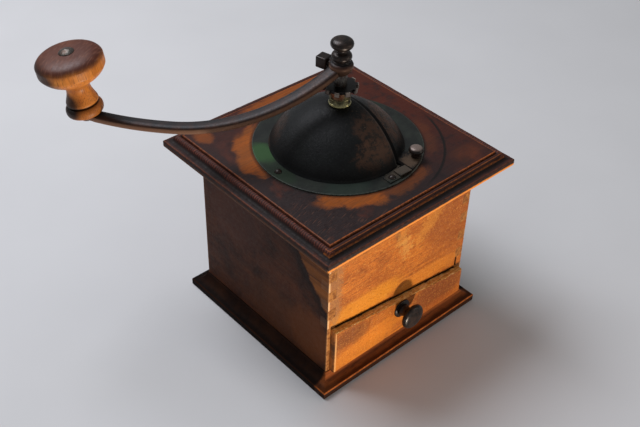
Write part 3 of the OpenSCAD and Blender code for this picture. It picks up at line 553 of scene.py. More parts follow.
def drawer_oak():
    """The drawer front: orange at the lower left, browner at the right, a light left edge."""
    return waxed_oak("waxed_oak_drawer", (
        (0.6, "#d07a20", (-38, -66, 20), (30, 20, 9), 0.65),
        (0.6, "#d67c20", (-16, -66, 27), (26, 20, 7), 0.55),
        (0.6, "#743a19", (34, -66, 28), (28, 20, 14), 0.8),
        (0.8, "#a0521c", (40, -66, 15), (30, 20, 5), 0.6),
        (0.9, "#743f19", (-46, -66, 38), (18, 20, 9), 0.65),
        (0.6, "#dca364", (-59.2, -66, 30), (0.9, 20, 40), 0.75),
    ), "#a8642a", 0.0)


def splintered_oak():
    """Torn oak along the drawer's upper edge: pale raised fibres, partly painted light, with dark dirt
    between.
    """
    m = Finish("torn_oak")
    g = m.grain(m.place, "x", 4.0)
    tone = m.add("MixRGB", 0.6, g.fine, g.fibre)[0]
    # The pale tones are partly painted light on these upward faces
    shade = m.add("ValToRGB", tone, stops=((0.36, "#95602a"), (0.5, "#d69a4c"), (0.64, "#f4d096")))[0]
    shade = m.layer(shade, "#4c290f", (g.pore, 0.56, 0.66), 0.4)
    return m.finished(shade, 0.72, tone, 0.4, shine=0.2)


def planed_oak():
    """Bare planed oak inside, dusted with grounds."""
    m = Finish("bare_oak_planed")
    g = m.grain(m.place, "y", 8.0)
    shade = m.layers(
        colours().inner,
        ("#77512f", (g.band, 0.2, 0.9)),
        ("#b98f62", (g.fibre, 0.5, 0.7), 0.4),
        ("#4d3320", (g.cloud, 0.5, 0.7), 0.6),
        ("#3a2414", (g.pore, 0.56, 0.68), 0.6),
    )
    return m.finished(shade, 0.72, g.fibre, 0.25, edge_mm=0.4)


def turned_knob_wood():
    """Turned beech: crown dark from the palm and finely scratched, sides worn to orange along the pores."""
    c = colours()
    m = Finish("turned_beech_handled")
    lean = KNOB_AXIS.to_track_quat("Z", "Y").to_euler()
    own = m.add("Mapping", m.place, KNOB_SEAT, lean, vector_type="TEXTURE")[0]
    along = m.measured(own)[2]
    g = m.grain(own, "z", 5.0)
    side = m.layers(
        c.knob_side,
        ("#b96a28", (g.band, 0.3, 0.75)),
        ("#f0aa50", (g.cloud, 0.5, 0.7), 0.6),
        ("#5a2c10", (g.pore, 0.54, 0.66), 0.6),
    )
    crown = m.layers(
        c.knob_crown,
        ("#663823", (g.cloud, 0.4, 0.7)),
        ("#8f6350", (m.scratches(own, -0.36, 7), 0.52, 0.68), 0.3),
        ("#26120c", (m.scratches(own, -0.5, 7), 0.52, 0.68), 0.36),
    )
    head = sizes().knob_shoulder / MM
    shade = m.layers(
        side,
        (crown, (m.frayed(along, g.cloud, 7), head - 0.5, head + 4)),
        # Darker under the head, and black in the groove over the ring
        ("#5a2f16", m.band(along, 18, 22, 25, 29), 0.3),
        ("#1d0e07", m.band(along, 7.9, 8.5, 9.6, 10.4), 0.9),
        # The ring by the arm is browner
        ("#7a3f1a", (along, 9, 7.5), 0.45),
    )
    # Painted shade, black at the side away from the drawer
    shade = m.patched(
        shade, g.cloud, 0.4,
        ("#190c08", (-148, 101, 187), (17, 17, 9), 0.9),
        ("#190c08", (-134, 95, 167), (8, 8, 7), 0.9),
        ("#190c08", (-136, 95, 162), (9, 9, 5), 0.9),
    )
    relief = m.add("Math", g.pore, 0.5, g.fine, **TIMES_PLUS)[0]
    return m.finished(shade, (g.fine, 0.3, 0.7, 0.34, 0.56), relief, 0.14, strength=0.5, shine=0.28)


def japanned_iron():
    """Sheet iron under worn black japan: grainy sheen, brown rust blooming through, painted shade at the
    foot.
    """
    c = colours()
    m = Finish("japanned_sheet_iron")
    cloud, fine = m.skin(18, 6.0, 1.2)
    pits = m.add("TexNoise", m.place, None, per_mm(4.5), 6.0, 0.75)[0]
    x, _, z = m.measured(m.place)
    bloom = m.layer(c.rust, "#21201d", (pits, 0.46, 0.6), 0.8)
    shade = m.layers(c.japan, ("#171918", (cloud, 0.35, 0.7)), ("#35383a", (fine, 0.56, 0.7), 0.35))
    shade = m.patched(
        shade, pits, 0.8,
        (bloom, (4, -30, 150), (13, 18, 16), 0.6),
        (bloom, (-4, -38, 143), (14, 10, 10), 0.7),
        (bloom, (26, -20, 148), (13, 18, 15), 0.65),
        (bloom, (30, 12, 145), (14, 16, 16), 0.35),
        (bloom, (-30, 28, 140), (14, 12, 12), 0.3),
    )
    # Pale rust flecks among the bloom, and dust on the shutter's tab
    shade = m.layer(shade, "#8d6f57", (fine, 0.57, 0.67), (x, -14, 2), (pits, 0.5, 0.6), 0.7)
    shade = m.patched(shade, fine, 1.2, ("#5c4a3b", (20, -45, 132), (9, 6, 4), 0.75))
    # Painted shade at the dome's foot and a painted shadow round the collar
    foot = m.mask((m.frayed(z, cloud, 10), 143, 134))
    shade = m.layer(shade, "#060606", foot, (z, 132.9, 133.5, 0, 1), 0.85)
    shade = m.patched(shade, cloud, 0.4, ("#070707", (0, 0, 161), (13, 13, 5), 0.8))
    # A painted shadow with old grease packed along the fixed half's cut edge, which is itself rubbed grey
    cut = sizes().filling_edge / MM
    grease_and_shadow = m.band(x, cut - 0.1, cut + 0.1, cut + 4.2, cut + 5.0)
    shade = m.layers(
        shade,
        ("#030303", grease_and_shadow, 0.97),
        ("#4a4744", m.band(x, cut - 1.2, cut - 0.5, cut - 0.2, cut), 0.4),
    )
    rough = m.mask((fine, 0.3, 0.7, 0.36, 0.6))
    for dull, share in ((grease_and_shadow, 0.5), (foot, 0.25)):
        rough = m.add("Math", dull, share, rough, use_clamp=True, **TIMES_PLUS)[0]
    height = m.add("Math", pits, 1.2, fine, **TIMES_PLUS)[0]
    return m.finished(shade, rough, height, 0.3, strength=0.8, shine=0.17)


def green_flange_iron():
    """Flange with old green paint left at one side, elsewhere green-black, a painted highlight on its rim.
    """
    m = Finish("painted_sheet_iron")
    cloud, fine = m.skin(12, 6.0, 1.4)
    shade = m.patched(
        m.layer("#121513", "#20251f", (cloud, 0.38, 0.66)), cloud, 0.6,
        (colours().green, (-46, 22, 131), (10, 12, 20), 0.95),
        ("#20301f", (-50, -2, 131), (8, 14, 20), 0.7),
        ("#1c2a22", (-30, -40, 131), (16, 12, 20), 0.6),
        ("#1c2b1e", (44, 26, 131), (14, 16, 20), 0.6),
    )
    shade = m.patched(shade, fine, 0.6, ("#4e4338", (14, -48, 131.5), (18, 6, 20), 0.75))
    # A painted highlight along the rim
    shade = m.layer(shade, "#5c625c", (m.round_reach(), 54.2, 54.7), (fine, 0.36, 0.56), 0.4)
    gloss = (fine, 0.3, 0.7, 0.36, 0.58)
    return m.finished(shade, gloss, fine, 0.15, edge_mm=0.2, strength=0.4, shine=0.28)


def blackened_iron():
    """Oil-blackened iron: dark soft gloss, brown where the black is thin, bright teeth, a painted highlight
    on the shutter knob.
    """
    m = Finish("oil_blackened_iron")
    cloud, fine = m.skin(5, 5.0, 0.9)
    shade = m.layers(colours().iron, ("#2c211c", (cloud, 0.4, 0.62)), ("#5c4436", (fine, 0.56, 0.7), 0.5))
    # A painted highlight on the top of the shutter knob
    low, high = (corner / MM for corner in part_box("shutter_knob"))
    crown = ((low.x + high.x) / 2, (low.y + high.y) / 2, high.z)
    shade = m.patched(shade, fine, 0.25, ("#84736b", crown, (5.0, 5.0, 1.5), 0.9))
    # Tips of the adjusting nut's teeth are rubbed bright and carry a painted highlight, its disc stays
    # black with oil
    low, high = (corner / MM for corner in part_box("adjusting_nut"))
    at_nut = m.band(m.measured(m.place)[2], low.z - 1, low.z, high.z, high.z + 1)
    ring = m.round_reach()
    shade = m.layers(
        shade,
        ("#0a0808", at_nut, (ring, 10.2, 9.4), 0.9),
        ("#9c8f84", at_nut, (ring, high.x - 0.9, high.x - 0.3), (cloud, 0.36, 0.56), 0.9),
    )
    gloss = (cloud, 0.3, 0.7, 0.24, 0.44)
    return m.finished(shade, gloss, fine, 0.12, metallic=0.3, edge_mm=0.4, strength=0.45, shine=0.4)


def forged_arm_steel():
    """Forged bar with a brown-black oxide skin, a painted grey reflection on top and painted coppery light
    below.
    """
    c = colours()
    m = Finish("forged_steel_browned")
    cloud, fine = m.skin(7, 5.0, 1.0)
    upward = m.facing()[2]
    shade = m.layers(
        "#1f1714",
        (c.patina, (cloud, 0.35, 0.7)),
        # A painted reflection on the faces that look up
        ("#262a2e", (m.frayed(upward, fine, 0.3), 0.65, 0.95), 0.6),
        # Painted coppery light on the faces that look down, away from the hub
        (c.copper, (m.frayed(upward, cloud, 0.6), 0.6, -0.1), (m.round_reach(), 8, 14, 0.5, 0.9)),
        ("#7a5c4a", (fine, 0.6, 0.72), 0.4),
    )
    height = m.add("Math", fine, cloud, **PLUS)[0]
    gloss = (fine, 0.3, 0.7, 0.38, 0.6)
    return m.finished(shade, gloss, height, 0.2, metallic=0.35, strength=0.4, shine=0.3)


def sand_cast_iron():
    """Grey iron from a sand mould: coarse grey-black skin with brown dust."""
    m = Finish("sand_cast_iron")
    grit = m.add("TexNoise", m.place, None, per_mm(0.8), 4.0, 0.7)[0]
    cloud = m.add("TexNoise", m.place, None, per_mm(12), 4.0, 0.6)[0]
    shade = m.layers("#262422", ("#46423d", (grit, 0.35, 0.65)), ("#4d3322", (cloud, 0.48, 0.66), 0.6))
    return m.finished(shade, 0.62, grit, 0.35, metallic=0.4, edge_mm=0.4)


def turned_steel():
    """Turned bare steel, dulled by handling, with brown spots."""
    m = Finish("turned_steel_dulled")
    cloud, fine = m.skin(4, 5.0, 0.7)
    shade = m.layer("#4a4541", colours().steel, (fine, 0.35, 0.65))
    shade = m.layer(shade, "#3d2a21", (cloud, 0.45, 0.62), 0.75)
    gloss = (cloud, 0.3, 0.7, 0.26, 0.5)
    return m.finished(shade, gloss, fine, 0.08, metallic=0.85, edge_mm=0.25, strength=0.4)


def aged_brass():
    """Turned brass gone greenish and dull, brighter at its lower bead, a painted highlight."""
    m = Finish("turned_brass_aged")
    cloud, fine = m.skin(4, 5.0, 0.8)
    shade = m.layer("#66634a", colours().brass, (cloud, 0.35, 0.62))
    shade = m.layer(shade, "#b8a687", (fine, 0.56, 0.7), 0.5)
    shade = m.patched(shade, fine, 0.8, ("#a4735a", (-6, -4, 169), (5, 5, 3), 0.8))
    seat = DOME_HIGH.z / MM
    # A painted highlight on the lower bead
    shade = m.layer(shade, "#b5ad7c", (m.measured(m.place)[2], seat + 2.0, seat + 1.4), 0.7)
    gloss = (cloud, 0.3, 0.7, 0.16, 0.34)
    return m.finished(shade, gloss, fine, 0.08, metallic=0.95, edge_mm=0.3, strength=0.4)


MATERIAL_MAKERS = {
    "top_wood": stained_oak_top,
    "base_wood": stained_oak_base,
    "side_wood": stained_oak_walls,
    "front_wood": front_oak,
    "drawer_wood": drawer_oak,
    "inner_wood": planed_oak,
    "knob_wood": turned_knob_wood,
    "hopper_iron": japanned_iron,
    "flange_iron": green_flange_iron,
    "dark_iron": blackened_iron,
    "arm_steel": forged_arm_steel,
    "cast_iron": sand_cast_iron,
    "bright_steel": turned_steel,
    "aged_brass": aged_brass,
}


@functools.cache
def finish_of(slot):
    """The material of one of the record's slots, made once."""
    return MATERIAL_MAKERS[slot]()


# Mesh building

BEVEL = {"offset_type": "OFFSET", "profile": 0.5, "material": -1}
QUARTER = math.pi / 2
# Worn edges: the shortest that is cut, cuts along each, and their dents and nicks per metre
LONG_EDGE = 50 * MM
EDGE_CUTS = 60
DENTS = 180
NICKS = 700
# A face whose normal has a part over this along an axis is shaded flat
SQUARE_ON = 0.99999


def place_piece(name, bm, body, slot, node, angle=40):
    """Turns a bmesh into a piece that rides on a body and stands for its CAD node."""
    mesh = bpy.data.meshes.new(name)
    bm.to_mesh(mesh)
    bm.free()
    piece = bpy.data.objects.new(name, mesh)
    bpy.context.scene.collection.objects.link(piece)
    mesh.shade_smooth()
    mesh.set_sharp_from_angle(angle=math.radians(angle))
    for polygon in mesh.polygons:
        polygon.use_smooth = max(abs(v) for v in polygon.normal) < SQUARE_ON
    mesh.materials.append(finish_of(slot))
    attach(piece, body)
    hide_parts(node)
    return piece


def dress(slot, *nodes):
    """Gives CAD nodes' own objects the finish of a slot."""
    for node in nodes:
        materials = frame["nodes"][node].data.materials
        materials.clear()
        materials.append(finish_of(slot))


def rounded(points, rounds):
    """Cuts the corners of an open outline, which keeps its ends."""
    for _ in range(rounds):
        cut = [points[0]]
        for (r0, z0), (r1, z1) in zip(points, points[1:]):
            cut.append((0.75 * r0 + 0.25 * r1, 0.75 * z0 + 0.25 * z1))
            cut.append((0.25 * r0 + 0.75 * r1, 0.25 * z0 + 0.75 * z1))
        cut.append(points[-1])
        points = cut
    return points


def arc(centre, radius, start, stop, steps):
    """Points on an arc of an outline, by angles in degrees."""
    angles = [math.radians(start + (stop - start) * i / steps) for i in range(steps + 1)]
    return [(centre[0] + radius * math.cos(a), centre[1] + radius * math.sin(a)) for a in angles]


def turned(outline, rounds=0, close=False, seat=Matrix()):
    """Spins an outline of radius and height in millimetres once round Z, and sets it on its seat."""
    bm = bmesh.new()
    verts = [bm.verts.new((r * MM, 0, z * MM)) for r, z in rounded(outline, rounds)]
    edges = [bm.edges.new(pair) for pair in zip(verts, verts[1:] + (verts[:1] if close else []))]
    bmesh.ops.spin(
        bm, geom=verts + edges, cent=(0, 0, 0), axis=(0, 0, 1),
        angle=2 * math.pi, steps=sizes().sides, use_merge=True,
    )
    bmesh.ops.remove_doubles(bm, verts=bm.verts, dist=1e-6)
    bmesh.ops.recalc_face_normals(bm, faces=bm.faces)
    bmesh.ops.transform(bm, matrix=seat, verts=bm.verts)
    return bm


def moulded(outline):
    """A square board with mitred edges, raised ring by ring from its lowest outline point."""
    bm = bmesh.new()
    half, low = outline[0]
    bmesh.ops.create_grid(bm, x_segments=1, y_segments=1, size=half, matrix=Matrix.Translation((0, 0, low)))
    face = bm.faces[:][0]
    for i, ((half_from, z_from), (half_to, z_to)) in enumerate(zip(outline, outline[1:])):
        ring, face = pulled(bm, face, keep=i == 0)
        bmesh.ops.scale(bm, verts=ring, vec=(half_to / half_from, half_to / half_from, 1))
        bmesh.ops.translate(bm, verts=ring, vec=(0, 0, z_to - z_from))
    bmesh.ops.recalc_face_normals(bm, faces=bm.faces)
    return bm


def kind_of(geom, kind):
    """The vertices, edges or faces among what an operator made."""
    return [g for g in geom if isinstance(g, kind)]


def pulled(bm, face, keep=False):
    """Extrudes one face in place. Returns the new corners and the new face."""
    grown = bmesh.ops.extrude_face_region(bm, geom=[face])["geom"]
    if not keep:
        bmesh.ops.delete(bm, geom=[face], context="FACES_ONLY")
    return kind_of(grown, bmesh.types.BMVert), kind_of(grown, bmesh.types.BMFace)[0]


def board(corners, y_from, y_to):
    """An upright board from its corners' x and z, from one y to another."""
    bm = bmesh.new()
    face = bm.faces.new([bm.verts.new((x, y_from, z)) for x, z in corners])
    grown = bmesh.ops.extrude_face_region(bm, geom=[face], use_keep_orig=True)["geom"]
    bmesh.ops.translate(bm, verts=kind_of(grown, bmesh.types.BMVert), vec=(0, y_to - y_from, 0))
    bmesh.ops.recalc_face_normals(bm, faces=bm.faces)
    return bm


def level_faces(bm, z):
    """Faces that lie flat at a height."""
    return [f for f in bm.faces if all(abs(v.co.z - z) < 1e-5 for v in f.verts)]


def holed(bm, faces, circles):
    """Puts round holes in flat faces. Circles are centre, radius and count. Returns the holes' edges."""
    border = [e for face in faces for e in face.edges]
    rims = []
    for centre, radius, count in circles:
        seat = Matrix.Translation(centre)
        made = bmesh.ops.create_circle(bm, segments=count, radius=radius, matrix=seat)["verts"]
        rims.append(list({e for v in made for e in v.link_edges}))
    bmesh.ops.delete(bm, geom=faces, context="FACES_ONLY")
    edges = border + [e for rim in rims for e in rim]
    bmesh.ops.triangle_fill(bm, use_beauty=True, use_dissolve=False, edges=edges)
    return rims


def wear_edges(bm, low, high, depth, inner):
    """Cuts the long moulding edges short and dents them, outside a square whose half side is inner."""

    def outside(point):
        return max(abs(point.x), abs(point.y)) > inner

    outer_edges = [e for e in bm.edges if all(outside(v.co) for v in e.verts)]
    long_edges = [e for e in outer_edges if e.calc_length() > LONG_EDGE]
    bmesh.ops.subdivide_edges(bm, edges=long_edges, cuts=EDGE_CUTS, use_grid_fill=True)
    for v in bm.verts:
        if low < v.co.z < high and outside(v.co):
            dent = noise.noise(v.co * DENTS) + 0.6 * noise.noise(v.co * NICKS)
            v.co *= 1 - depth * max(0.0, dent) / v.co.length
    bmesh.ops.recalc_face_normals(bm, faces=bm.faces)


class MILL_OT_top_board(bpy.types.Operator):
    """Moulded top board with worn arrises and the hole for the hopper"""

    bl_idname = "mill.top_board"
    bl_label = "Top board"

    def execute(self, context):
        s = sizes()
        half, low, high, a = TOP_HIGH.x, TOP_LOW.z, TOP_HIGH.z, s.arris
        panel = half - s.moulding
        edge_z = low + s.top_edge
        bead_z = edge_z + s.top_cove
        cove_x = panel + 2 * s.bead
        outline = [(half - a, low), (half - 0.3 * a, low + 0.3 * a), (half, low + a)]
        outline += [(half, edge_z - a), (half - 0.3 * a, edge_z - 0.3 * a), (half - a, edge_z)]
        outline += arc((cove_x + s.top_cove, bead_z), s.top_cove, 270, 182, 5)
        outline += arc((panel + s.bead, bead_z), s.bead, 4, 172, 9)
        outline += [(panel, high - 0.6 * a), (panel - 0.2 * a, high - 0.18 * a), (panel - 0.6 * a, high)]
        bm = moulded(outline)
        top, floor = level_faces(bm, high), level_faces(bm, low)
        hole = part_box("mill_housing")[1].x + 0.15 * MM
        upper = holed(bm, top, [((0, 0, high), hole, 96)])[0]
        lower = holed(bm, floor, [((0, 0, low), hole, 96)])[0]
        bmesh.ops.bridge_loops(bm, edges=upper + lower)
        wear_edges(bm, low - 1, high + 1, 0.22 * MM, panel - 2 * a)
        place_piece("top_board_worn", bm, "case", "top_wood", "top_board", 50)
        return {"FINISHED"}


class MILL_OT_base_board(bpy.types.Operator):
    """Coved base board with its worn lip and the countersunk screw holes underneath"""

    bl_idname = "mill.base_board"
    bl_label = "Base board"

    def execute(self, context):
        s = sizes()
        half, low, high, a = BASE_HIGH.x, BASE_LOW.z, BASE_HIGH.z, s.arris
        lip_z = low + s.base_lip
        seat = half - 1.0 * MM - s.base_cove
        outline = [(half - 0.5 * a, low), (half, low + 0.5 * a), (half, lip_z - a)]
        outline += [(half - 0.3 * a, lip_z - 0.3 * a), (half - a, lip_z)]
        outline += arc((seat + s.base_cove, high), s.base_cove, 270, 183, 8)
        outline += [(seat - 0.5 * a, high)]
        bm = moulded(outline)
        head, hole, sunk = 3.2 * MM, 3.3 * MM, 2.4 * MM
        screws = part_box("base_screws")[1]
        x, y = screws.x - head, screws.y - head
        circles = [((sx * x, sy * y, low), hole, 24) for sx in (-1, 1) for sy in (-1, 1)]
        for rim in holed(bm, level_faces(bm, low), circles):
            grown = bmesh.ops.extrude_edge_only(bm, edges=rim)["geom"]
            bmesh.ops.translate(bm, verts=kind_of(grown, bmesh.types.BMVert), vec=(0, 0, sunk))
            bmesh.ops.contextual_create(bm, geom=kind_of(grown, bmesh.types.BMEdge))
        wear_edges(bm, low + 2 * MM, high + 1, 0.2 * MM, seat - 1.5 * MM)
        place_piece("base_board_worn", bm, "case", "base_wood", "base_board", 50)
        return {"FINISHED"}


class MILL_OT_walls(bpy.types.Operator):
    """Stained side and back walls, the front board, and the bare wood inside"""

    bl_idname = "mill.walls"
    bl_label = "Walls"

    def execute(self, context):
        dress("side_wood", "left_wall", "right_wall", "back_wall")
        dress("front_wood", "front_wall")
        dress("inner_wood", "corner_blocks", "drawer_runners")
        dress("inner_wood", "drawer_left_side", "drawer_right_side", "drawer_back", "drawer_bottom")
        return {"FINISHED"}


class MILL_OT_drawer_front(bpy.types.Operator):
    """Slanted drawer front with rounded arrises and a splintered upper edge"""

    bl_idname = "mill.drawer_front"
    bl_label = "Drawer front"

    def execute(self, context):
        low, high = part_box("drawer_front")
        left_z, right_z = high.z, low.z + 20.5 * MM
        slope = (right_z - left_z) / (high.x - low.x)
        lap_back = -62.8 * MM
        bm = board(((low.x, low.z), (high.x, low.z), (high.x, right_z), (low.x, left_z)), low.y, lap_back)
        front_edges = [e for e in bm.edges if all(abs(v.co.y - low.y) < 1e-7 for v in e.verts)]
        bmesh.ops.bevel(bm, geom=front_edges, offset=0.8 * MM, affect="EDGES", segments=3, **BEVEL)
        # The upper edge is cut fine and torn, with chips of two sizes, and its front arris is pushed in
        torn_zone, torn_deep, pushed_in, torn_cuts = 1.6 * MM, 1.5 * MM, 0.7 * MM, 90
        chips, splinters, frays = 160, 620, 400
        lengths = [e for e in bm.edges if abs(e.verts[0].co.x - e.verts[1].co.x) > LONG_EDGE]
        bmesh.ops.subdivide_edges(bm, edges=lengths, cuts=torn_cuts, use_grid_fill=True)
        for v in bm.verts:
            line = left_z + slope * (v.co.x - low.x)
            if v.co.z > line - torn_zone:
                chip = 0.5 * noise.noise(v.co * chips) + 0.5 * noise.noise(v.co * splinters)
                v.co.z -= torn_deep * max(0.0, chip + 0.1)
                if v.co.y < lap_back - 3 * MM:
                    v.co.y += pushed_in * max(0.0, noise.noise(v.co * frays))
        piece = place_piece("drawer_front_board", bm, "drawer", "drawer_wood", "drawer_front", 35)
        piece.data.materials.append(splintered_oak())
        for polygon in piece.data.polygons:
            if polygon.normal.z > 0.6:
                polygon.material_index = 1
        # Plug board behind the lapping front
        tray_low, tray_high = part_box("drawer_bottom")
        corners = [(tray_low.x, tray_low.z), (tray_high.x, tray_low.z)]
        corners += [(x, left_z + slope * (x - low.x) - 3.5 * MM) for x in (tray_high.x, tray_low.x)]
        plug = board(corners, lap_back, high.y)
        bmesh.ops.bevel(plug, geom=plug.edges[:], offset=0.4 * MM, affect="EDGES", segments=2, **BEVEL)
        place_piece("drawer_front_plug", plug, "drawer", "inner_wood", "drawer_front")
        return {"FINISHED"}


class MILL_OT_drawer_knob(bpy.types.Operator):
    """Turned iron drawer knob and its flared rose"""

    bl_idname = "mill.drawer_knob"
    bl_label = "Drawer knob"

    def execute(self, context):
        low, high = (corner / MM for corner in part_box("drawer_knob"))
        rose_low, rose_high = (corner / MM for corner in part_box("drawer_knob_rose"))
        r, reach = (high.x - low.x) / 2, rose_high.y - low.y
        middle = Vector((0, rose_high.y, (low.z + high.z) / 2)) * MM
        seat = Matrix.Translation(middle) @ Matrix.Rotation(QUARTER, 4, "X")
        knob = [(0, 2), (4.3, 2), (4.3, 2), (3.7, 4), (3.7, 5.8), (4.6, 7.4), (r * 0.8, reach - 4.9)]
        knob += [(r * 1.02, reach - 4.2), (r * 1.02, reach - 2.2), (r * 0.88, reach - 0.7)]
        knob += [(r * 0.4, reach), (0, reach)]
        knob = turned(knob, 3, seat=seat)
        place_piece("drawer_knob_turned", knob, "drawer", "dark_iron", "drawer_knob", 60)
        r = (rose_high.x - rose_low.x) / 2
        rose = [(2.3, 0), (r, 0), (r, 0), (r, 0.9), (r * 0.86, 1.3), (r * 0.7, 2), (2.3, 2)]
        rose = turned(rose, 2, True, seat)
        place_piece("drawer_knob_rose_turned", rose, "drawer", "dark_iron", "drawer_knob_rose", 60)
        dress("bright_steel", "drawer_knob_screw")
        return {"FINISHED"}


class MILL_OT_hopper(bpy.types.Operator):
    """Fixed half of the sheet-iron dome and its painted flange"""

    bl_idname = "mill.hopper"
    bl_label = "Hopper"

    def execute(self, context):
        s = sizes()
        low, rim, pad = DOME_LOW.z / MM, DOME_HIGH.x / MM, DOME_HIGH.z / MM
        top = low + 1
        base, rise = s.dome_base / MM, s.dome_rise / MM
        radius = (base ** 2 + rise ** 2) / (2 * rise)
        centre = top + rise - radius
        pad_r = math.sqrt(radius ** 2 - (pad - centre) ** 2)
        start = math.degrees(math.asin((top - 0.3 - centre) / radius))
        stop = math.degrees(math.acos(pad_r / radius))
        bore, inner, seam = 5.55, 41.5, (45.3, 44.4)
        bm = turned([(bore, pad)] + arc((0, centre), radius, stop, start, 40))
        bmesh.ops.bisect_plane(
            bm, geom=bm.verts[:] + bm.edges[:] + bm.faces[:],
            plane_co=(s.filling_edge, 0, 0), plane_no=(1, 0, 0), clear_outer=True,
        )
        bmesh.ops.recalc_face_normals(bm, faces=bm.faces)
        middle = Vector((0, 0, centre * MM))
        if sum(f.normal.dot(f.calc_center_median() - middle) for f in bm.faces) < 0:
            bmesh.ops.reverse_faces(bm, faces=bm.faces)
        bmesh.ops.solidify(bm, geom=bm.faces[:], thickness=s.sheet)
        place_piece("hopper_dome_shell", bm, "case", "hopper_iron", "hopper_dome", 50)
        flange = [(inner, low), (rim, low), (rim, top - 0.3), (rim - 0.3, top)]
        flange += [(r, top) for r in (*seam, inner)]
        flange = turned(flange, close=True)
        place_piece("hopper_flange", flange, "case", "flange_iron", "hopper_dome", 30)
        dress("flange_iron", "shutter_clip")
        dress("dark_iron", "flange_screws")
        return {"FINISHED"}


class MILL_OT_shutter(bpy.types.Operator):
    """Turning shutter and its little knob"""

    bl_idname = "mill.shutter"
    bl_label = "Shutter"

    def execute(self, context):
        dress("hopper_iron", "dome_shutter")
        low, high = (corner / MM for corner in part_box("shutter_knob"))
        radius, tall = (high.x - low.x) / 2, high.z - low.z
        outline = [(0, 0), (0.6, 0), (0.6, 0), (0.56, 0.28), (0.8, 0.46), (1.0, 0.57)]
        outline += [(1.02, 0.71), (0.84, 0.9), (0.46, 0.99), (0, 1)]
        seat = Matrix.Translation(Vector(((low.x + high.x) / 2, (low.y + high.y) / 2, low.z)) * MM)
        knob = turned([(r * radius, z * tall) for r, z in outline], 2, seat=seat)
        place_piece("shutter_knob_turned", knob, "shutter", "dark_iron", "shutter_knob", 60)
        return {"FINISHED"}


class MILL_OT_spindle_stack(bpy.types.Operator):
    """Brass collar, notched adjusting nut, the bare spindle and the mill inside"""

    bl_idname = "mill.spindle_stack"
    bl_label = "Spindle stack"

    def execute(self, context):
        low, high = (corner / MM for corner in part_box("spindle_collar"))
        foot = (high.x - low.x) / 2 - 0.5
        body = foot - 0.6
        bore = sizes().spindle / MM / 2 + 0.05
        sleeve = 5.5
        seat = DOME_HIGH.z / MM
        outline = [(bore, high.z), (body - 0.5, high.z), (body, high.z - 0.5)]
        outline += [(r, seat + z) for r, z in (
            (body, 5.2), (body - 0.3, 4.9), (body, 4.6), (body, 2.1), (body + 0.1, 1.7),
            (foot - 0.2, 1.5), (foot, 1.0), (foot, 0.5), (foot - 0.4, 0), (sleeve, 0),
        )]
        outline += [(sleeve, low.z), (bore, low.z)]
        collar = turned(outline, close=True)
        place_piece("spindle_collar_turned", collar, "case", "aged_brass", "spindle_collar")
        dress("dark_iron", "adjusting_nut")
        dress("bright_steel", "spindle", "collar_nut", "feed_pin", "drive_pin", "spring_washer")
        dress("bright_steel", "grind_ring", "grind_cone", "base_screws", "bridge_screws")
        dress("aged_brass", "lower_bush")
        dress("cast_iron", "mill_housing", "bridge_bar")
        return {"FINISHED"}


class MILL_OT_spring(bpy.types.Operator):
    """Round-wire spring on the spindle inside the hopper"""

    bl_idname = "mill.spring"
    bl_label = "Spindle spring"

    def execute(self, context):
        s = sizes()
        low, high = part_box("spindle_spring")
        wire = 0.7 * MM
        steps = 32 * s.spring_turns
        rise = high.z - low.z - 2 * wire
        bm = bmesh.new()
        seat = Matrix.Translation((high.x - wire, 0, low.z + wire)) @ Matrix.Rotation(QUARTER, 4, "X")
        ring = bmesh.ops.create_circle(bm, cap_ends=False, segments=12, radius=wire, matrix=seat)["verts"]
        edges = list({e for v in ring for e in v.link_edges})
        bmesh.ops.spin(
            bm, geom=ring + edges, cent=(0, 0, 0), axis=(0, 0, 1), dvec=(0, 0, rise / steps),
            angle=2 * math.pi * s.spring_turns, steps=steps, use_merge=False,
        )
        bmesh.ops.holes_fill(bm, edges=bm.edges[:], sides=0)
        bmesh.ops.recalc_face_normals(bm, faces=bm.faces)
        place_piece("spindle_spring_wound", bm, "crank", "bright_steel", "spindle_spring", 60)
        return {"FINISHED"}


def arm_frame(along):
    """Place and directions of the crank arm's middle line at a length in plan, and its whole length."""
    s = sizes()
    curve = s.crank_reach / (2 * math.sin(ARM_BEND / 2))
    heading_from = KNOB_BEARING + ARM_BEND / 2
    heading = heading_from - along / curve
    fall = max(0.0, 1 - along / s.arm_fall)
    pitch = math.atan(-2 * s.arm_drop / s.arm_fall * fall)
    point = Vector((
        curve * (math.sin(heading_from) - math.sin(heading)),
        curve * (math.cos(heading) - math.cos(heading_from)),
        KNOB_SEAT.z + s.arm_drop * fall ** 2,
    ))
    turn_to = Matrix.Rotation(heading, 4, "Z") @ Matrix.Rotation(-pitch, 4, "Y")
    return Matrix.Translation(point) @ turn_to, curve * ARM_BEND


def knob_place():
    """Place of the crank knob's own axis, with its origin in the arm's tip."""
    return Matrix.Translation(KNOB_SEAT) @ KNOB_AXIS.to_track_quat("Z", "Y").to_matrix().to_4x4()


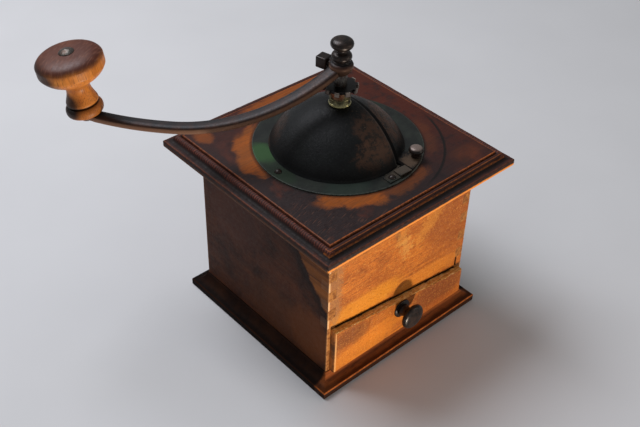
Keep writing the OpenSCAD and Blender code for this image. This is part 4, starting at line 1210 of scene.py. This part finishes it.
class MILL_OT_crank_arm(bpy.types.Operator):
    """Curved crank arm with its hub, flattened tip and square-headed screw"""

    bl_idname = "mill.crank_arm"
    bl_label = "Crank arm"

    def execute(self, context):
        s = sizes()
        total = arm_frame(0)[1]
        start = 5 * MM
        steps = 72

        def section(i):
            along = start + (total - start) * i / steps
            wide = s.arm_wide + (s.arm_end - s.arm_wide) * along / total
            scaled = Matrix.Diagonal((1, wide, s.arm_thick, 1))
            return arm_frame(along)[0] @ scaled @ Matrix.Rotation(QUARTER, 4, "Y")

        bm = bmesh.new()
        bmesh.ops.create_grid(bm, x_segments=1, y_segments=1, size=0.5)
        bmesh.ops.bevel(bm, geom=bm.verts[:], offset=0.34, affect="VERTICES", segments=5, **BEVEL)
        face = bm.faces[:][0]
        bmesh.ops.transform(bm, matrix=section(0), verts=bm.verts)
        for i in range(steps):
            ring, face = pulled(bm, face, keep=i == 0)
            bmesh.ops.transform(bm, matrix=section(i + 1) @ section(i).inverted(), verts=ring)
        # The tip is flattened: spot-faced under the knob's ring, and level with its own eye below
        seat = knob_place()
        spot, eye, half = 12, 5.6, TIP_HALF / MM
        bmesh.ops.bisect_plane(
            bm, geom=bm.verts[:] + bm.edges[:] + bm.faces[:], dist=1e-7,
            plane_co=seat @ Vector((0, 0, TIP_HALF)), plane_no=KNOB_AXIS,
        )
        for v in bm.verts:
            own = seat.inverted() @ v.co
            if own.z > TIP_HALF and math.hypot(own.x, own.y) < spot * MM:
                v.co = seat @ Vector((own.x, own.y, TIP_HALF))
            if own.z < -TIP_HALF and math.hypot(own.x, own.y) < eye * MM:
                v.co = seat @ Vector((own.x, own.y, -TIP_HALF))
        bmesh.ops.recalc_face_normals(bm, faces=bm.faces)
        r, top, low = 7.5, FINIAL_LOW.z / MM, HUB_LOW / MM
        hub = [(2.9, top), (r - 1.6, top), (r - 0.5, top - 0.5), (r, top - 1.6)]
        hub += [(r, low + 4.8), (r - 0.8, low + 2.8), (5.0, low + 0.3), (4.05, low)]
        tip = [(2.5, half), (eye - 0.4, half), (eye, half - 0.4)]
        tip += [(eye, 0.4 - half), (eye - 0.4, -half), (2.5, -half)]
        for part in (turned(hub), turned(tip, seat=seat)):
            joined = bpy.data.meshes.new("joined")
            part.to_mesh(joined)
            part.free()
            bm.from_mesh(joined)
            bpy.data.meshes.remove(joined)
        place_piece("crank_arm_forged", bm, "crank", "arm_steel", "crank_arm", 45)
        # The screw stands to one side of the arm, square to a flat of the spindle
        screw_low, screw_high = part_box("arm_screw")
        level = (screw_low.z + screw_high.z) / 2
        head = screw_high.z - screw_low.z
        shank, shank_from, shank_to, head_from = 2 * MM, 3 * MM, 9.2 * MM, 9 * MM
        aim = Matrix.Rotation(KNOB_BEARING + ARM_BEND / 2 - SCREW_TURN, 4, "Z")
        screw = bmesh.new()
        bmesh.ops.create_cube(screw, size=head)
        bmesh.ops.bevel(screw, geom=screw.edges[:], offset=0.8 * MM, affect="EDGES", segments=3, **BEVEL)
        head_place = aim @ Matrix.Translation((head_from + head / 2, 0, level))
        bmesh.ops.transform(screw, matrix=head_place, verts=screw.verts)
        shank_place = aim @ Matrix.Translation(((shank_from + shank_to) / 2, 0, level))
        bmesh.ops.create_cone(
            screw, cap_ends=True, segments=24, radius1=shank, radius2=shank, depth=shank_to - shank_from,
            matrix=shank_place @ Matrix.Rotation(QUARTER, 4, "Y"),
        )
        place_piece("arm_screw_forged", screw, "crank", "dark_iron", "arm_screw")
        dress("bright_steel", "knob_pin")
        return {"FINISHED"}


class MILL_OT_finial(bpy.types.Operator):
    """Turned finial nut over the crank's hub"""

    bl_idname = "mill.finial"
    bl_label = "Finial nut"

    def execute(self, context):
        tall, r = (FINIAL_HIGH.z - FINIAL_LOW.z) / MM, FINIAL_HIGH.x / MM
        outline = [(0, 0), (5.6, 0), (5.6, 0), (5.7, 0.7), (4.9, 1.2), (5.3, 1.6), (6.4, 2.8), (6.5, 4.4)]
        outline += [(5.6, 6.0), (4.0, 6.8), (3.3, 7.7), (3.6, 8.7), (r * 0.7, 9.1), (r * 0.98, 10.4)]
        outline += [(r * 1.07, 12.2), (r * 0.98, 14.0), (r * 0.7, tall - 0.4), (r * 0.3, tall), (0, tall)]
        nut = turned(outline, 3, seat=Matrix.Translation((0, 0, FINIAL_LOW.z)))
        place_piece("finial_nut_turned", nut, "crank", "dark_iron", "finial_nut", 60)
        return {"FINISHED"}


class MILL_OT_crank_knob(bpy.types.Operator):
    """Turned wooden crank knob and the ring under it"""

    bl_idname = "mill.crank_knob"
    bl_label = "Crank knob"

    def execute(self, context):
        wide = sizes().knob_wide / MM / 2
        bore = 2.55
        seat = knob_place() @ Matrix.Translation((0, 0, TIP_HALF))
        ring = [(bore, 0.2), (8.6, 0.2), (10.6, 0.6), (11.6, 2.2), (11.6, 4.8), (10.6, 6.4), (9.0, 7.1)]
        ring = turned(ring + [(bore, 7.1)], 2, True, seat)
        place_piece("knob_collar_turned", ring, "grip", "knob_wood", "knob_collar", 60)
        knob = [(bore, 7.3), (8.9, 7.3), (8.9, 7.3), (9.9, 8.0), (10.0, 9.4), (9.2, 11.4), (8.0, 14.4)]
        knob += [(7.3, 17.4), (7.6, 20.4), (9.2, 21.6), (13.0, 24.2), (17.6, 27.4), (20.4, 31.0)]
        knob += [(21.2, 34.2), (20.5, 37.8), (17.6, 40.6), (12.4, 41.9), (6.0, 42.2), (bore, 42.25)]
        knob = turned([(min(r, wide), z) for r, z in rounded(knob, 3)], 0, True, seat)
        place_piece("crank_knob_turned", knob, "grip", "knob_wood", "crank_knob", 60)
        return {"FINISHED"}


class MILL_OT_stage(bpy.types.Operator):
    """Pale floor, soft light and the camera"""

    bl_idname = "mill.stage"
    bl_label = "Stage"

    def execute(self, context):
        scene = context.scene
        bm = bmesh.new()
        bmesh.ops.create_grid(bm, x_segments=1, y_segments=1, size=4.0)
        mesh = bpy.data.meshes.new("pale_floor")
        bm.to_mesh(mesh)
        bm.free()
        floor = bpy.data.objects.new("pale_floor", mesh)
        scene.collection.objects.link(floor)
        # Matt paper: nearly white, with faint cloudiness
        m = Finish("matt_paper")
        clouds = m.add("TexNoise", m.place, None, per_mm(120), 3.0)[0]
        tooth = m.add("TexNoise", m.place, None, per_mm(0.8))[0]
        mesh.materials.append(m.finished(m.layer(colours().floor, "#cacacb", clouds), 0.8, tooth, 0.05))
        # The front light comes up through the floor, which therefore casts no shadow
        floor.visible_shadow = False
        for name, place, aim, wide, deep, power, tint in (
            ("front_bounce", (-0.082, -0.34, -0.111), (-0.082, -0.42, 0.889), 0.036, 0.05, 2.95, "#fff0dc"),
            ("overhead_soft", (-0.2, 0.62, 1.15), (0.0, 0.0, 0.12), 0.7, 0.7, 14.0, "#f6f8ff"),
            ("right_fill", (0.62, -0.95, 0.4), (0.0, 0.0, 0.14), 0.4, 0.3, 1.4, "#fff3e2"),
        ):
            light = bpy.data.lights.new(name, "AREA")
            light.shape = "RECTANGLE"
            light.size, light.size_y = wide, deep
            light.energy = power
            light.color = paint(tint)
            lamp = bpy.data.objects.new(name, light)
            lamp.location = place
            lamp.rotation_euler = (Vector(aim) - Vector(place)).to_track_quat("-Z", "Y").to_euler()
            lamp.visible_camera = False
            scene.collection.objects.link(lamp)
        world = bpy.data.worlds.new("soft_room")
        world.use_nodes = True
        back = world.node_tree.nodes["Background"]
        back.inputs["Color"].default_value = opaque("#e9eaec")
        back.inputs["Strength"].default_value = 0.3
        scene.world = world
        scene.view_settings.view_transform = "Standard"

        camera = bpy.data.cameras.new("viewpoint")
        camera.sensor_fit = "HORIZONTAL"
        camera.sensor_width = 36
        camera.lens = 55.80
        eye = bpy.data.objects.new("viewpoint", camera)
        right = Vector((0.74722608, -0.66416274, 0.02326016))
        up = Vector((0.4051858, 0.4830443, 0.77620401))
        behind = Vector((-0.52676147, -0.57057519, 0.63005262))
        turn_to = Matrix((right, up, behind)).transposed().to_4x4()
        eye.matrix_world = Matrix.Translation((-0.36083, -0.37584, 0.49479)) @ turn_to
        scene.collection.objects.link(eye)
        scene.camera = eye
        return {"FINISHED"}


class MILL_PT_panel(bpy.types.Panel):
    """Lists the pieces of the mill"""

    bl_idname = "MILL_PT_panel"
    bl_label = "Box coffee mill"
    bl_space_type = "VIEW_3D"
    bl_region_type = "UI"
    bl_category = "Mill"

    def draw(self, context):
        for operator in OPERATORS:
            self.layout.operator(operator.bl_idname)
        for group in (context.scene.mill_sizes, context.scene.mill_colours):
            for name in group.__annotations__:
                self.layout.prop(group, name)


OPERATORS = (
    MILL_OT_stage,
    MILL_OT_top_board,
    MILL_OT_base_board,
    MILL_OT_walls,
    MILL_OT_drawer_front,
    MILL_OT_drawer_knob,
    MILL_OT_hopper,
    MILL_OT_shutter,
    MILL_OT_spindle_stack,
    MILL_OT_spring,
    MILL_OT_crank_arm,
    MILL_OT_finial,
    MILL_OT_crank_knob,
)
CLASSES = (MillSizes, MillColours, *OPERATORS, MILL_PT_panel)


def register():
    for cls in CLASSES:
        bpy.utils.register_class(cls)
    bpy.types.Scene.mill_sizes = PointerProperty(type=MillSizes)
    bpy.types.Scene.mill_colours = PointerProperty(type=MillColours)


def unregister():
    del bpy.types.Scene.mill_colours
    del bpy.types.Scene.mill_sizes
    for cls in reversed(CLASSES):
        bpy.utils.unregister_class(cls)


def main():
    register()
    for operator in OPERATORS:
        group, name = operator.bl_idname.split(".")
        getattr(getattr(bpy.ops, group), name)()


if __name__ == "__main__":
    main()
